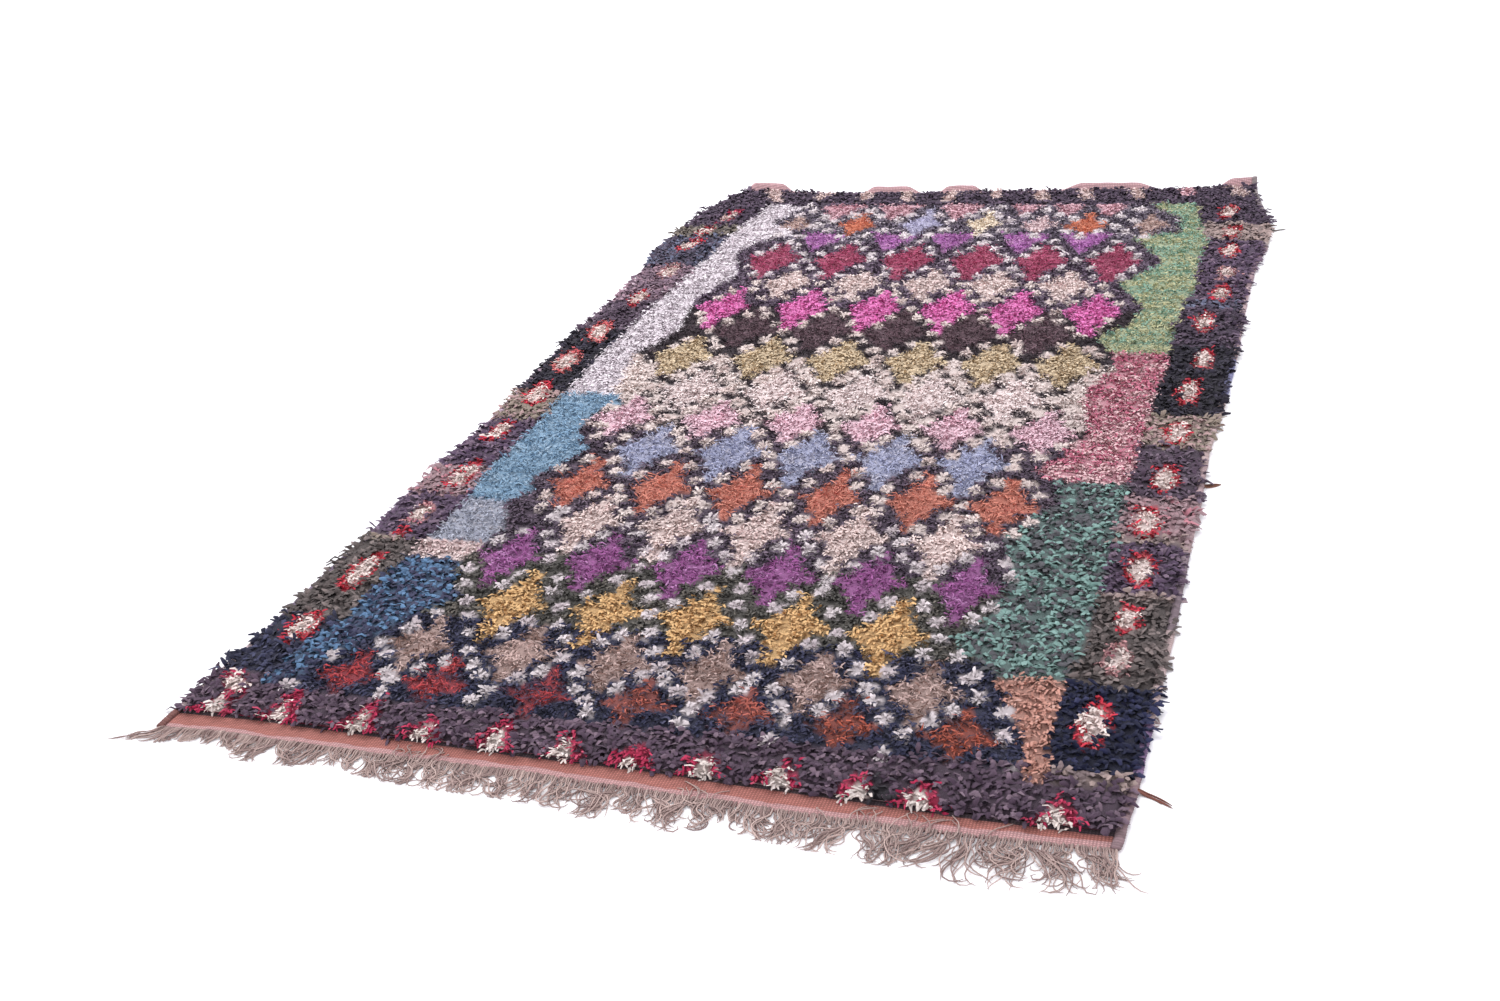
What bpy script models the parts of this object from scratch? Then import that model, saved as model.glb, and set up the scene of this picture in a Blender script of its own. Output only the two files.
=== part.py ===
"""A boucherouite rug lying flat on the floor.

Rag pile is knotted on a woven ground. The ground ends in a bare woven band at each
end, its warps hang out as a fringe at the near end, and a cord of overcast yarn
binds each long side.

Metres, +Z up. The origin is on the floor under the middle of the rug. +Y runs along
its length, away from the fringed end, and +X across it.
"""

import math
import random
from collections import namedtuple

import bmesh
import bpy
from mathutils import Vector

# Clearance between neighbouring pieces
GAP = 0.0003
# The fringe's strip keeps twice the gap, because its edge and the cloth's bend at different places
FRINGE_GAP = 0.0006

# Woven ground
CLOTH_THICKNESS = 0.003
FAR_BAND_WIDTH = 0.016

# Rag pile
PILE_ROWS = 78
PILE_COLUMNS = 32
PILE_HEIGHT = 0.0195
ROW_UNEVENNESS = 0.0014
LUMP_HEIGHT = 0.0032
ROW_WANDER = 0.004

# Locks at the rim of the pile
SIDE_LOCK_REACH = (0.008, 0.019)
NEAR_LOCK_REACH = (0.004, 0.010)
FAR_LOCK_REACH = (0.003, 0.007)
LOCK_TIP_SHARE = (0.30, 0.55)
LOCK_TIP_HEIGHT = (0.0095, 0.0150)
LOCK_SWAY = 0.009
# How much of a level's overhang the middle one of its three side points has
MIDDLE_OVERHANG = 0.7

# Overcast side cords
CORD_WIDTH = 0.014
CORD_HEIGHT = 0.007
CORD_UNEVENNESS = 0.0014
# Its half-round section, as shares of its height at the inner wall and of its width at the crown
CORD_WALL_SHARE = 0.62
CORD_CROWN_SHARE = 0.42
TAIL_ROOT_WIDTH = 0.004
TAIL_THICKNESS = 0.0035
# The height of a loose end's middle and tip, each as a share of the one before
TAIL_FLATTENING = (0.85, 0.70)

# Warp fringe
STRANDS = 130
STRIP_DEPTH = 0.004
STRIP_HEIGHT = 0.003
STRAND_ROOT_WIDTH = 0.0062
STRAND_TIP_WIDTH = 0.0022
STRAND_BULK = 0.0045
STRAND_TIP_HEIGHT = 0.0012
STRAND_RINGS = 4
LENGTH_UNEVENNESS = 0.12
# A strand's sideways drift grows as this power of its length, and its bulge ends at this share of it
DRIFT_POWER = 1.4
BULGE_END = 1 / 1.2

# Floor outline of the two long sides, outside the overcast cords
Side = namedtuple("Side", "along left right")
SIDES = (
    Side(-1.365, -0.704, 0.706),
    Side(-1.250, -0.702, 0.713),
    Side(-1.050, -0.699, 0.716),
    Side(-0.870, -0.705, 0.719),
    Side(-0.740, -0.703, 0.719),
    Side(-0.600, -0.716, 0.718),
    Side(-0.460, -0.716, 0.721),
    Side(-0.350, -0.714, 0.719),
    Side(-0.240, -0.716, 0.718),
    Side(0.000, -0.733, 0.730),
    Side(0.240, -0.742, 0.735),
    Side(0.420, -0.747, 0.734),
    Side(0.550, -0.741, 0.734),
    Side(0.660, -0.748, 0.737),
    Side(0.780, -0.772, 0.741),
    Side(0.880, -0.786, 0.756),
    Side(1.040, -0.774, 0.759),
    Side(1.170, -0.773, 0.738),
    Side(1.260, -0.758, 0.722),
    Side(1.350, -0.728, 0.708),
    Side(1.420, -0.700, 0.703),
)

# Fringed end: where the woven band stops and where the pile starts
NearEnd = namedtuple("NearEnd", "across cloth pile")
NEAR_END = (
    NearEnd(-0.70, -1.356, -1.318),
    NearEnd(-0.56, -1.352, -1.315),
    NearEnd(-0.35, -1.357, -1.319),
    NearEnd(-0.12, -1.356, -1.326),
    NearEnd(0.05, -1.363, -1.326),
    NearEnd(0.30, -1.371, -1.335),
    NearEnd(0.50, -1.372, -1.343),
    NearEnd(0.70, -1.366, -1.345),
)

# Plain end: where the pile stops
FarEnd = namedtuple("FarEnd", "across pile")
FAR_END = (
    FarEnd(-0.70, 1.390),
    FarEnd(-0.55, 1.372),
    FarEnd(-0.43, 1.350),
    FarEnd(-0.29, 1.353),
    FarEnd(-0.12, 1.351),
    FarEnd(0.04, 1.366),
    FarEnd(0.22, 1.368),
    FarEnd(0.44, 1.362),
    FarEnd(0.56, 1.374),
    FarEnd(0.70, 1.398),
)

# Places where the plain end's woven band buckles up off the floor
Hump = namedtuple("Hump", "across half_width rise")
HUMPS = (
    Hump(-0.640, 0.080, 0.024),
    Hump(-0.270, 0.090, 0.019),
    Hump(-0.075, 0.065, 0.019),
    Hump(0.330, 0.140, 0.020),
    Hump(0.690, 0.090, 0.022),
)
# The share of its half width over which a hump's side rises
HUMP_SIDE = 0.5

# How far the fringe reaches from the cloth, and which way its tips are swept
Sweep = namedtuple("Sweep", "across reach drift")
FRINGE = (
    Sweep(-0.700, 0.040, -0.056),
    Sweep(-0.670, 0.036, -0.030),
    Sweep(-0.640, 0.026, -0.010),
    Sweep(-0.560, 0.030, 0.006),
    Sweep(-0.515, 0.052, 0.004),
    Sweep(-0.420, 0.050, -0.004),
    Sweep(-0.387, 0.034, 0.004),
    Sweep(-0.330, 0.050, 0.006),
    Sweep(-0.230, 0.058, -0.004),
    Sweep(-0.120, 0.058, 0.006),
    Sweep(-0.020, 0.060, 0.010),
    Sweep(0.040, 0.074, -0.002),
    Sweep(0.080, 0.042, 0.010),
    Sweep(0.145, 0.072, 0.002),
    Sweep(0.215, 0.034, -0.012),
    Sweep(0.245, 0.060, 0.004),
    Sweep(0.340, 0.064, 0.008),
    Sweep(0.430, 0.076, 0.004),
    Sweep(0.477, 0.056, -0.010),
    Sweep(0.540, 0.094, -0.004),
    Sweep(0.600, 0.092, -0.006),
    Sweep(0.660, 0.076, 0.012),
    Sweep(0.700, 0.066, 0.034),
)

# Loose weft and rag ends that stick out of the side cords
Tail = namedtuple("Tail", "side along reach drift")
TAILS = (
    Tail("right", -1.244, 0.046, -0.022),
    Tail("right", -1.085, 0.010, -0.004),
    Tail("right", -0.765, 0.012, 0.002),
    Tail("right", -0.375, 0.024, 0.004),
    Tail("right", -0.123, 0.012, 0.008),
    Tail("right", 1.029, 0.034, 0.016),
    Tail("left", -0.990, 0.016, -0.006),
    Tail("left", 0.640, 0.014, 0.004),
    Tail("left", 1.120, 0.024, 0.010),
)

Finish = namedtuple("Finish", "color roughness")
FINISHES = {
    "rug_body": Finish((0.105, 0.075, 0.100, 1.0), 0.95),
    "fringe_near": Finish((0.42, 0.32, 0.25, 1.0), 0.90),
    "selvedge_left": Finish((0.30, 0.23, 0.24, 1.0), 0.90),
    "selvedge_right": Finish((0.42, 0.29, 0.28, 1.0), 0.90),
}


def read_table(rows, column, at):
    """The value of a table's column at a place along its first column, in straight runs."""
    for low, high in zip(rows, rows[1:]):
        if at <= high[0]:
            break
    share = min(max((at - low[0]) / (high[0] - low[0]), 0.0), 1.0)
    return (1 - share) * getattr(low, column) + share * getattr(high, column)


def smooth_step(share):
    """0 to 1 with level ends."""
    share = min(max(share, 0.0), 1.0)
    return share * share * (3 - 2 * share)


def clear_scene():
    """Removes every object that Blender starts with."""
    for item in list(bpy.data.objects):
        bpy.data.objects.remove(item, do_unlink=True)


def add_object(name, shape):
    """Turns the bmesh into a named object with its own material."""
    bmesh.ops.recalc_face_normals(shape, faces=shape.faces)
    if shape.calc_volume(signed=True) < 0:
        bmesh.ops.reverse_faces(shape, faces=shape.faces)
    mesh = bpy.data.meshes.new(name)
    shape.to_mesh(mesh)
    shape.free()
    finish = FINISHES[name]
    material = bpy.data.materials.new(name)
    material.use_nodes = True
    shader = material.node_tree.nodes["Principled BSDF"]
    shader.inputs["Base Color"].default_value = finish.color
    shader.inputs["Roughness"].default_value = finish.roughness
    mesh.materials.append(material)
    item = bpy.data.objects.new(name, mesh)
    bpy.context.scene.collection.objects.link(item)
    return item


# A level of the slab's cross-section: how far the pile stands back from its end line,
# the height of the top, and the heights and overhang of the three points of each side.
Level = namedtuple("Level", "back top side_heights overhang")
ON_CLOTH = Level(0.0, CLOTH_THICKNESS, (0.001, 0.002, 0.003), 0.0)
RISER = (
    Level(0.0005, 0.008, (0.003, 0.005, 0.0065), 0.0),
    Level(0.0010, 0.010, (0.004, 0.007, 0.0085), 0.0),
    Level(0.0020, 0.017, (0.008, 0.010, 0.0140), 0.006),
)
IN_PILE = Level(0.008, PILE_HEIGHT, (0.009, 0.0105, 0.0165), 0.007)
TOP_INSET = 0.004


def hump_rise(across, outwards):
    """How high the plain end's band stands at a place, from its inner line to its end."""
    rise = 0.0
    for hump in HUMPS:
        share = 1 - abs(across - hump.across) / hump.half_width
        rise = max(rise, hump.rise * smooth_step(share / HUMP_SIDE))
    return rise * smooth_step(outwards)


def cloth_end_line(across):
    """Where the fringed end's woven band stops."""
    return read_table(NEAR_END, "cloth", across)


def pile_line(across, share):
    """A place along the pile, 0 at the fringed end and 1 at the plain end."""
    start = read_table(NEAR_END, "pile", across)
    stop = read_table(FAR_END, "pile", across)
    return start + share * (stop - start)


# A cross-section of the slab: its rule for y at a place across, its level, and how far
# out on the plain end's band it lies, from 0 to 1.
Station = namedtuple("Station", "along level band")


def slab_stations():
    """Every cross-section of the slab, from the fringed end to the plain end."""

    def from_start(back):
        return lambda across: pile_line(across, 0) + back

    def from_stop(back):
        return lambda across: pile_line(across, 1) - back

    def in_pile(share):
        inner = IN_PILE.back * (1 - 2 * share)
        return lambda across: pile_line(across, share) + inner

    bands = (0.0, 0.5, 1.0)
    return [
        Station(cloth_end_line, ON_CLOTH, 0.0),
        Station(from_start(0.0), ON_CLOTH, 0.0),
        *[Station(from_start(level.back), level, 0.0) for level in RISER],
        *[Station(in_pile(row / PILE_ROWS), IN_PILE, 0.0) for row in range(PILE_ROWS + 1)],
        *[Station(from_stop(level.back), level, 0.0) for level in reversed(RISER)],
        *[Station(from_stop(-FAR_BAND_WIDTH * band), ON_CLOTH, band) for band in bands],
    ]


def wall_place(station, side):
    """Where a cross-section meets the cloth's own edge: y and x are worked out from each other in turn."""
    inset = CORD_WIDTH + GAP
    across = 0.0
    for _ in range(3):
        along = station.along(across)
        across = read_table(SIDES, side, along) + (inset if side == "left" else -inset)
    return across, station.along(across)


def slab_sections(chance):
    """Each cross-section as (under, ring): its points on the floor, and those from left to right over the top."""
    sections = []
    for station in slab_stations():
        level = station.level
        left, right = wall_place(station, "left")[0], wall_place(station, "right")[0]
        in_pile = level is IN_PILE
        row_lift = chance.uniform(-1, 1) * ROW_UNEVENNESS if in_pile else 0.0

        def point(across, height):
            rise = hump_rise(across, station.band)
            return Vector((across, station.along(across), height + rise))

        overhangs = (0.0, MIDDLE_OVERHANG * level.overhang, level.overhang)
        sides = list(zip(overhangs, level.side_heights))
        ring = [point(left - o, h) for o, h in sides]
        for column in range(PILE_COLUMNS + 1):
            share = column / PILE_COLUMNS
            across = left + TOP_INSET + share * (right - left - 2 * TOP_INSET)
            height = level.top
            if in_pile:
                height += row_lift + chance.uniform(-1, 1) * LUMP_HEIGHT
            top = point(across, height)
            if in_pile:
                top.y += chance.uniform(-1, 1) * ROW_WANDER
            ring.append(top)
        ring += [point(right + o, h) for o, h in reversed(sides)]
        under = [point(left, 0.0), point(right, 0.0)]
        if level is ON_CLOTH:
            inner = [Vector((p.x, p.y, p.z - level.top)) for p in ring[3:-3]]
            under = [under[0], *inner, under[1]]
        sections.append((under, ring))
    return sections


def lengthen_locks(shape, faces, direction, reach, chance):
    """Pulls each face out into a lock that tapers to a blunt, swaying tip."""
    made = bmesh.ops.extrude_discrete_faces(shape, faces=faces)["faces"]
    for face in made:
        centre = face.calc_center_median()
        width = chance.uniform(*LOCK_TIP_SHARE)
        tip = centre + direction * chance.uniform(*reach)
        tip.z = chance.uniform(*LOCK_TIP_HEIGHT)
        if abs(direction.x) > abs(direction.y):
            tip.y += chance.uniform(-1, 1) * LOCK_SWAY
        else:
            tip.x += chance.uniform(-1, 1) * LOCK_SWAY
        for corner in face.verts:
            corner.co = tip + width * (corner.co - centre)


def make_rug_body():
    """The cloth and its pile as one lumpy slab, bare at both ends, with locks round the rim."""
    chance = random.Random(11)
    sections = slab_sections(chance)
    shape = bmesh.new()
    unders = [[shape.verts.new(p) for p in under] for under, _ in sections]
    rings = [[shape.verts.new(p) for p in ring] for _, ring in sections]
    locks = {"left": [], "right": [], "near": [], "far": []}
    first_pile = 2 + len(RISER)
    last_pile = first_pile + PILE_ROWS
    for row, (low, high) in enumerate(zip(rings, rings[1:])):
        for k in range(len(low) - 1):
            face = shape.faces.new((low[k], low[k + 1], high[k + 1], high[k]))
            over_top = 3 <= k < len(low) - 4
            if first_pile <= row < last_pile:
                if k == 1:
                    locks["left"].append(face)
                elif k == len(low) - 3:
                    locks["right"].append(face)
            elif row == first_pile - 2 and over_top:
                locks["near"].append(face)
            elif row == last_pile + 1 and over_top:
                locks["far"].append(face)
        low_under, high_under = unders[row], unders[row + 1]
        shape.faces.new((low_under[0], low[0], high[0], high_under[0]))
        shape.faces.new((low_under[-1], high_under[-1], high[-1], low[-1]))
        if len(low_under) == len(high_under):
            for k in range(len(low_under) - 1):
                shape.faces.new(
                    (low_under[k], high_under[k], high_under[k + 1], low_under[k + 1])
                )
        else:
            shape.faces.new(low_under[::-1] + high_under)
    close_end(shape, unders[0], rings[0])
    close_end(shape, unders[-1][::-1], rings[-1][::-1])
    left, right = Vector((-1, 0, 0)), Vector((1, 0, 0))
    near, far = Vector((0, -1, 0)), Vector((0, 1, 0))
    lengthen_locks(shape, locks["left"], left, SIDE_LOCK_REACH, chance)
    lengthen_locks(shape, locks["right"], right, SIDE_LOCK_REACH, chance)
    lengthen_locks(shape, locks["near"], near, NEAR_LOCK_REACH, chance)
    lengthen_locks(shape, locks["far"], far, FAR_LOCK_REACH, chance)
    return add_object("rug_body", shape)


def close_end(shape, under, ring):
    """The cut edge of the woven band: a strip from the underside's points to the top's."""
    top = ring[3:-3]
    shape.faces.new([under[0], under[1], top[0], ring[2], ring[1], ring[0]])
    for k in range(len(top) - 1):
        shape.faces.new((under[k + 1], under[k + 2], top[k + 1], top[k]))
    shape.faces.new([under[-2], under[-1], ring[-1], ring[-2], ring[-3], top[-1]])


def strand_ring(root_x, share, reach, drift):
    """The three corners of a strand at a share of its length: two on the floor, one above."""
    across = root_x + drift * share**DRIFT_POWER
    along = cloth_end_line(root_x) - FRINGE_GAP - STRIP_DEPTH - reach * share
    half = 0.5 * (STRAND_ROOT_WIDTH + share * (STRAND_TIP_WIDTH - STRAND_ROOT_WIDTH))
    bulge = STRAND_BULK * math.sin(math.pi * min(share / BULGE_END, 1.0))
    height = STRIP_HEIGHT + share * (STRAND_TIP_HEIGHT - STRIP_HEIGHT) + 0.5 * bulge
    return (
        Vector((across - half, along, 0.0)),
        Vector((across + half, along, 0.0)),
        Vector((across, along, height)),
    )


def make_fringe():
    """A narrow strip beside the cloth's end, with a comb of loose warp locks lying on the floor."""
    chance = random.Random(23)
    cloth_end = slab_stations()[0]
    left, right = wall_place(cloth_end, "left")[0], wall_place(cloth_end, "right")[0]
    pitch = (right - left) / STRANDS
    roots = [left + (k + 0.5) * pitch for k in range(STRANDS)]
    shape = bmesh.new()

    def corner(across, depth, height):
        along = cloth_end_line(across) - FRINGE_GAP - depth
        return shape.verts.new((across, along, height))

    front_low, front_top, back_low, back_top = [], [], [], []
    for x in [left, *roots, right]:
        back_low.append(corner(x, 0.0, 0.0))
        back_top.append(corner(x, 0.0, STRIP_HEIGHT))
    front_low.append(corner(left, STRIP_DEPTH, 0.0))
    front_top.append(corner(left, STRIP_DEPTH, STRIP_HEIGHT))
    root_faces = []
    for x in roots:
        ring = [shape.verts.new(p) for p in strand_ring(x, 0.0, 1.0, 0.0)]
        front_low += ring[:2]
        front_top.append(ring[2])
        root_faces.append(shape.faces.new(ring))
    front_low.append(corner(right, STRIP_DEPTH, 0.0))
    front_top.append(corner(right, STRIP_DEPTH, STRIP_HEIGHT))
    for k in range(STRANDS + 1):
        shape.faces.new(
            (front_low[2 * k], front_low[2 * k + 1], front_top[k + 1], front_top[k])
        )
        shape.faces.new((back_low[k + 1], back_low[k], back_top[k], back_top[k + 1]))
        shape.faces.new((front_top[k], front_top[k + 1], back_top[k + 1], back_top[k]))
        low = front_low[2 * k : 2 * k + 3] if k < STRANDS else front_low[2 * k :]
        shape.faces.new([back_low[k + 1], *low[::-1], back_low[k]])
    shape.faces.new((back_low[0], front_low[0], front_top[0], back_top[0]))
    shape.faces.new((front_low[-1], back_low[-1], back_top[-1], front_top[-1]))
    reaches = [
        read_table(FRINGE, "reach", x) * (1 - LENGTH_UNEVENNESS * chance.random())
        for x in roots
    ]
    for step in range(1, STRAND_RINGS + 1):
        made = bmesh.ops.extrude_discrete_faces(shape, faces=root_faces)["faces"]
        root_faces = sorted(made, key=lambda face: face.calc_center_median().x)
        for face, x, reach in zip(root_faces, roots, reaches):
            ring = strand_ring(
                x, step / STRAND_RINGS, reach, read_table(FRINGE, "drift", x)
            )
            for vertex, place in zip(in_ring_order(face), ring):
                vertex.co = place
    return add_object("fringe_near", shape)


def in_ring_order(face):
    """A strand's end corners as strand_ring lists them: left, right, top."""
    top = max(face.verts, key=lambda vertex: vertex.co.z)
    low = sorted(set(face.verts) - {top}, key=lambda vertex: vertex.co.x)
    return [*low, top]


def cord_profile(thickness):
    """Half-round section of a side cord as (outwards, height) pairs, flat on the floor."""
    width, height = CORD_WIDTH * thickness, CORD_HEIGHT * thickness
    return (
        (0.0, 0.0),
        (0.0, CORD_WALL_SHARE * height),
        (CORD_CROWN_SHARE * width, height),
        (width, TAIL_THICKNESS),
        (width, 0.0),
    )


def cord_route(side, tails):
    """The cord's inner foot as (across, along) pairs: along the cloth's edge, with two more at each tail."""
    outwards = -1 if side == "left" else 1
    walls = [wall_place(s, side) for s in slab_stations() if s.level in (ON_CLOTH, IN_PILE)]
    walls = walls[: PILE_ROWS + 3]
    route = [(across + outwards * GAP, along) for across, along in walls]
    for tail in tails:
        low, high = next(p for p in zip(route, route[1:]) if p[1][1] > tail.along)
        for along in (tail.along - TAIL_ROOT_WIDTH / 2, tail.along + TAIL_ROOT_WIDTH / 2):
            share = (along - low[1]) / (high[1] - low[1])
            route.append((low[0] + share * (high[0] - low[0]), along))
        route.sort(key=lambda place: place[1])
    return route


def make_side_cord(side):
    """One overcast long edge, with the loose ends that stick out of it."""
    chance = random.Random(31 if side == "left" else 37)
    outwards = -1 if side == "left" else 1
    tails = [tail for tail in TAILS if tail.side == side]
    shape = bmesh.new()
    rings = []
    for across, along in cord_route(side, tails):
        thickness = 1 + chance.uniform(-1, 1) * CORD_UNEVENNESS / CORD_HEIGHT
        profile = cord_profile(thickness)
        rings.append(
            [shape.verts.new((across + outwards * o, along, h)) for o, h in profile]
        )
    count = len(rings[0])
    outer_faces = []
    for low, high in zip(rings, rings[1:]):
        for k in range(count):
            after = (k + 1) % count
            face = shape.faces.new((low[k], low[after], high[after], high[k]))
            if k == count - 2:
                outer_faces.append(face)
    shape.faces.new(rings[0])
    shape.faces.new(rings[-1][::-1])
    for tail in tails:
        face = min(outer_faces, key=lambda f: abs(f.calc_center_median().y - tail.along))
        outer_faces.remove(face)
        step = Vector((outwards * tail.reach, tail.drift, 0)) / len(TAIL_FLATTENING)
        for flatter in TAIL_FLATTENING:
            face = bmesh.ops.extrude_discrete_faces(shape, faces=[face])["faces"][0]
            for vertex in face.verts:
                vertex.co += step
                vertex.co.z *= flatter
    return add_object("selvedge_" + side, shape)


clear_scene()
make_rug_body()
make_fringe()
make_side_cord("left")
make_side_cord("right")
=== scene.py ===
"""The looks of a knotted rag pile rug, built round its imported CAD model.

Each visible piece is a set of grids worked out with numpy: a rag or a yarn is a narrow ribbon bent over
from its knot, a fringe strand and an edge cord are tubes, and the ground cloth is one flat closed tube.
The colours come from a chart of the pattern: borders, side panels and a net of diamonds with dots.
"""

import math
from collections import namedtuple

import bpy
import numpy as np
from mathutils import Matrix


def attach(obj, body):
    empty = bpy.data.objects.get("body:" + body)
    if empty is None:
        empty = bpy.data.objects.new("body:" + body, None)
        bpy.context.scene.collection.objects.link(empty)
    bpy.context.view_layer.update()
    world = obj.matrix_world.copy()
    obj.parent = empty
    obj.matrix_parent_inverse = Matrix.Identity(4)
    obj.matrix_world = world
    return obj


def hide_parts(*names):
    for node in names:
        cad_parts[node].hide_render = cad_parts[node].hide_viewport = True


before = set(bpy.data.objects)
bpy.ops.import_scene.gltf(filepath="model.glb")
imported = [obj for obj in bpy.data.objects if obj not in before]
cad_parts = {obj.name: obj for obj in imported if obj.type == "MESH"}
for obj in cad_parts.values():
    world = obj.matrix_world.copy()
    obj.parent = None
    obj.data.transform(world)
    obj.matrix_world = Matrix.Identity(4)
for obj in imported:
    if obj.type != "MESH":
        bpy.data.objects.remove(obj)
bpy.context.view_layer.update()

bl_info = {
    "name": "Rag pile rug",
    "version": (1, 0, 0),
    "blender": (4, 5, 0),
    "location": "3D View > Sidebar > Rug",
    "description": "Dresses the packed rug with its ground cloth, rag pile, fringe and overcast edges",
    "category": "Add Mesh",
}

# How each kind of rag or yarn stands in the pile. Widths and lengths are in metres, and angles in degrees.
# rise and droop are the slope above the floor at the knot and at the tip, spread is how far the heading
# strays, curl is how far it turns on its way, roll is how far the ribbon turns about itself, cup is the
# depth of its trough over its width, material is the slot of the mesh, and streak is how much a cloth's two
# colours lie in streaks rather than knot by knot.
Style = namedtuple(
    "Style", "per_knot width length across sections rise droop spread curl roll cup material streak"
)
STYLES = {
    "leaf": Style(3, 0.0078, 0.0152, 3, 3, 56, -24, 60, 30, 35, 0.25, 0, 0.15),
    "strip": Style(6, 0.0039, 0.0150, 2, 3, 58, -16, 38, 25, 30, 0.0, 0, 0.40),
    "yarn": Style(6, 0.0026, 0.0160, 2, 3, 64, -22, 58, 80, 60, 0.0, 1, 0.40),
    "fray": Style(5, 0.0024, 0.0180, 2, 3, 62, -18, 50, 60, 60, 0.0, 1, 0.45),
    "burst": Style(30, 0.0050, 0.0108, 2, 3, 54, -38, 0, 40, 34, 0.0, 1, 0.0),
}

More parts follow.
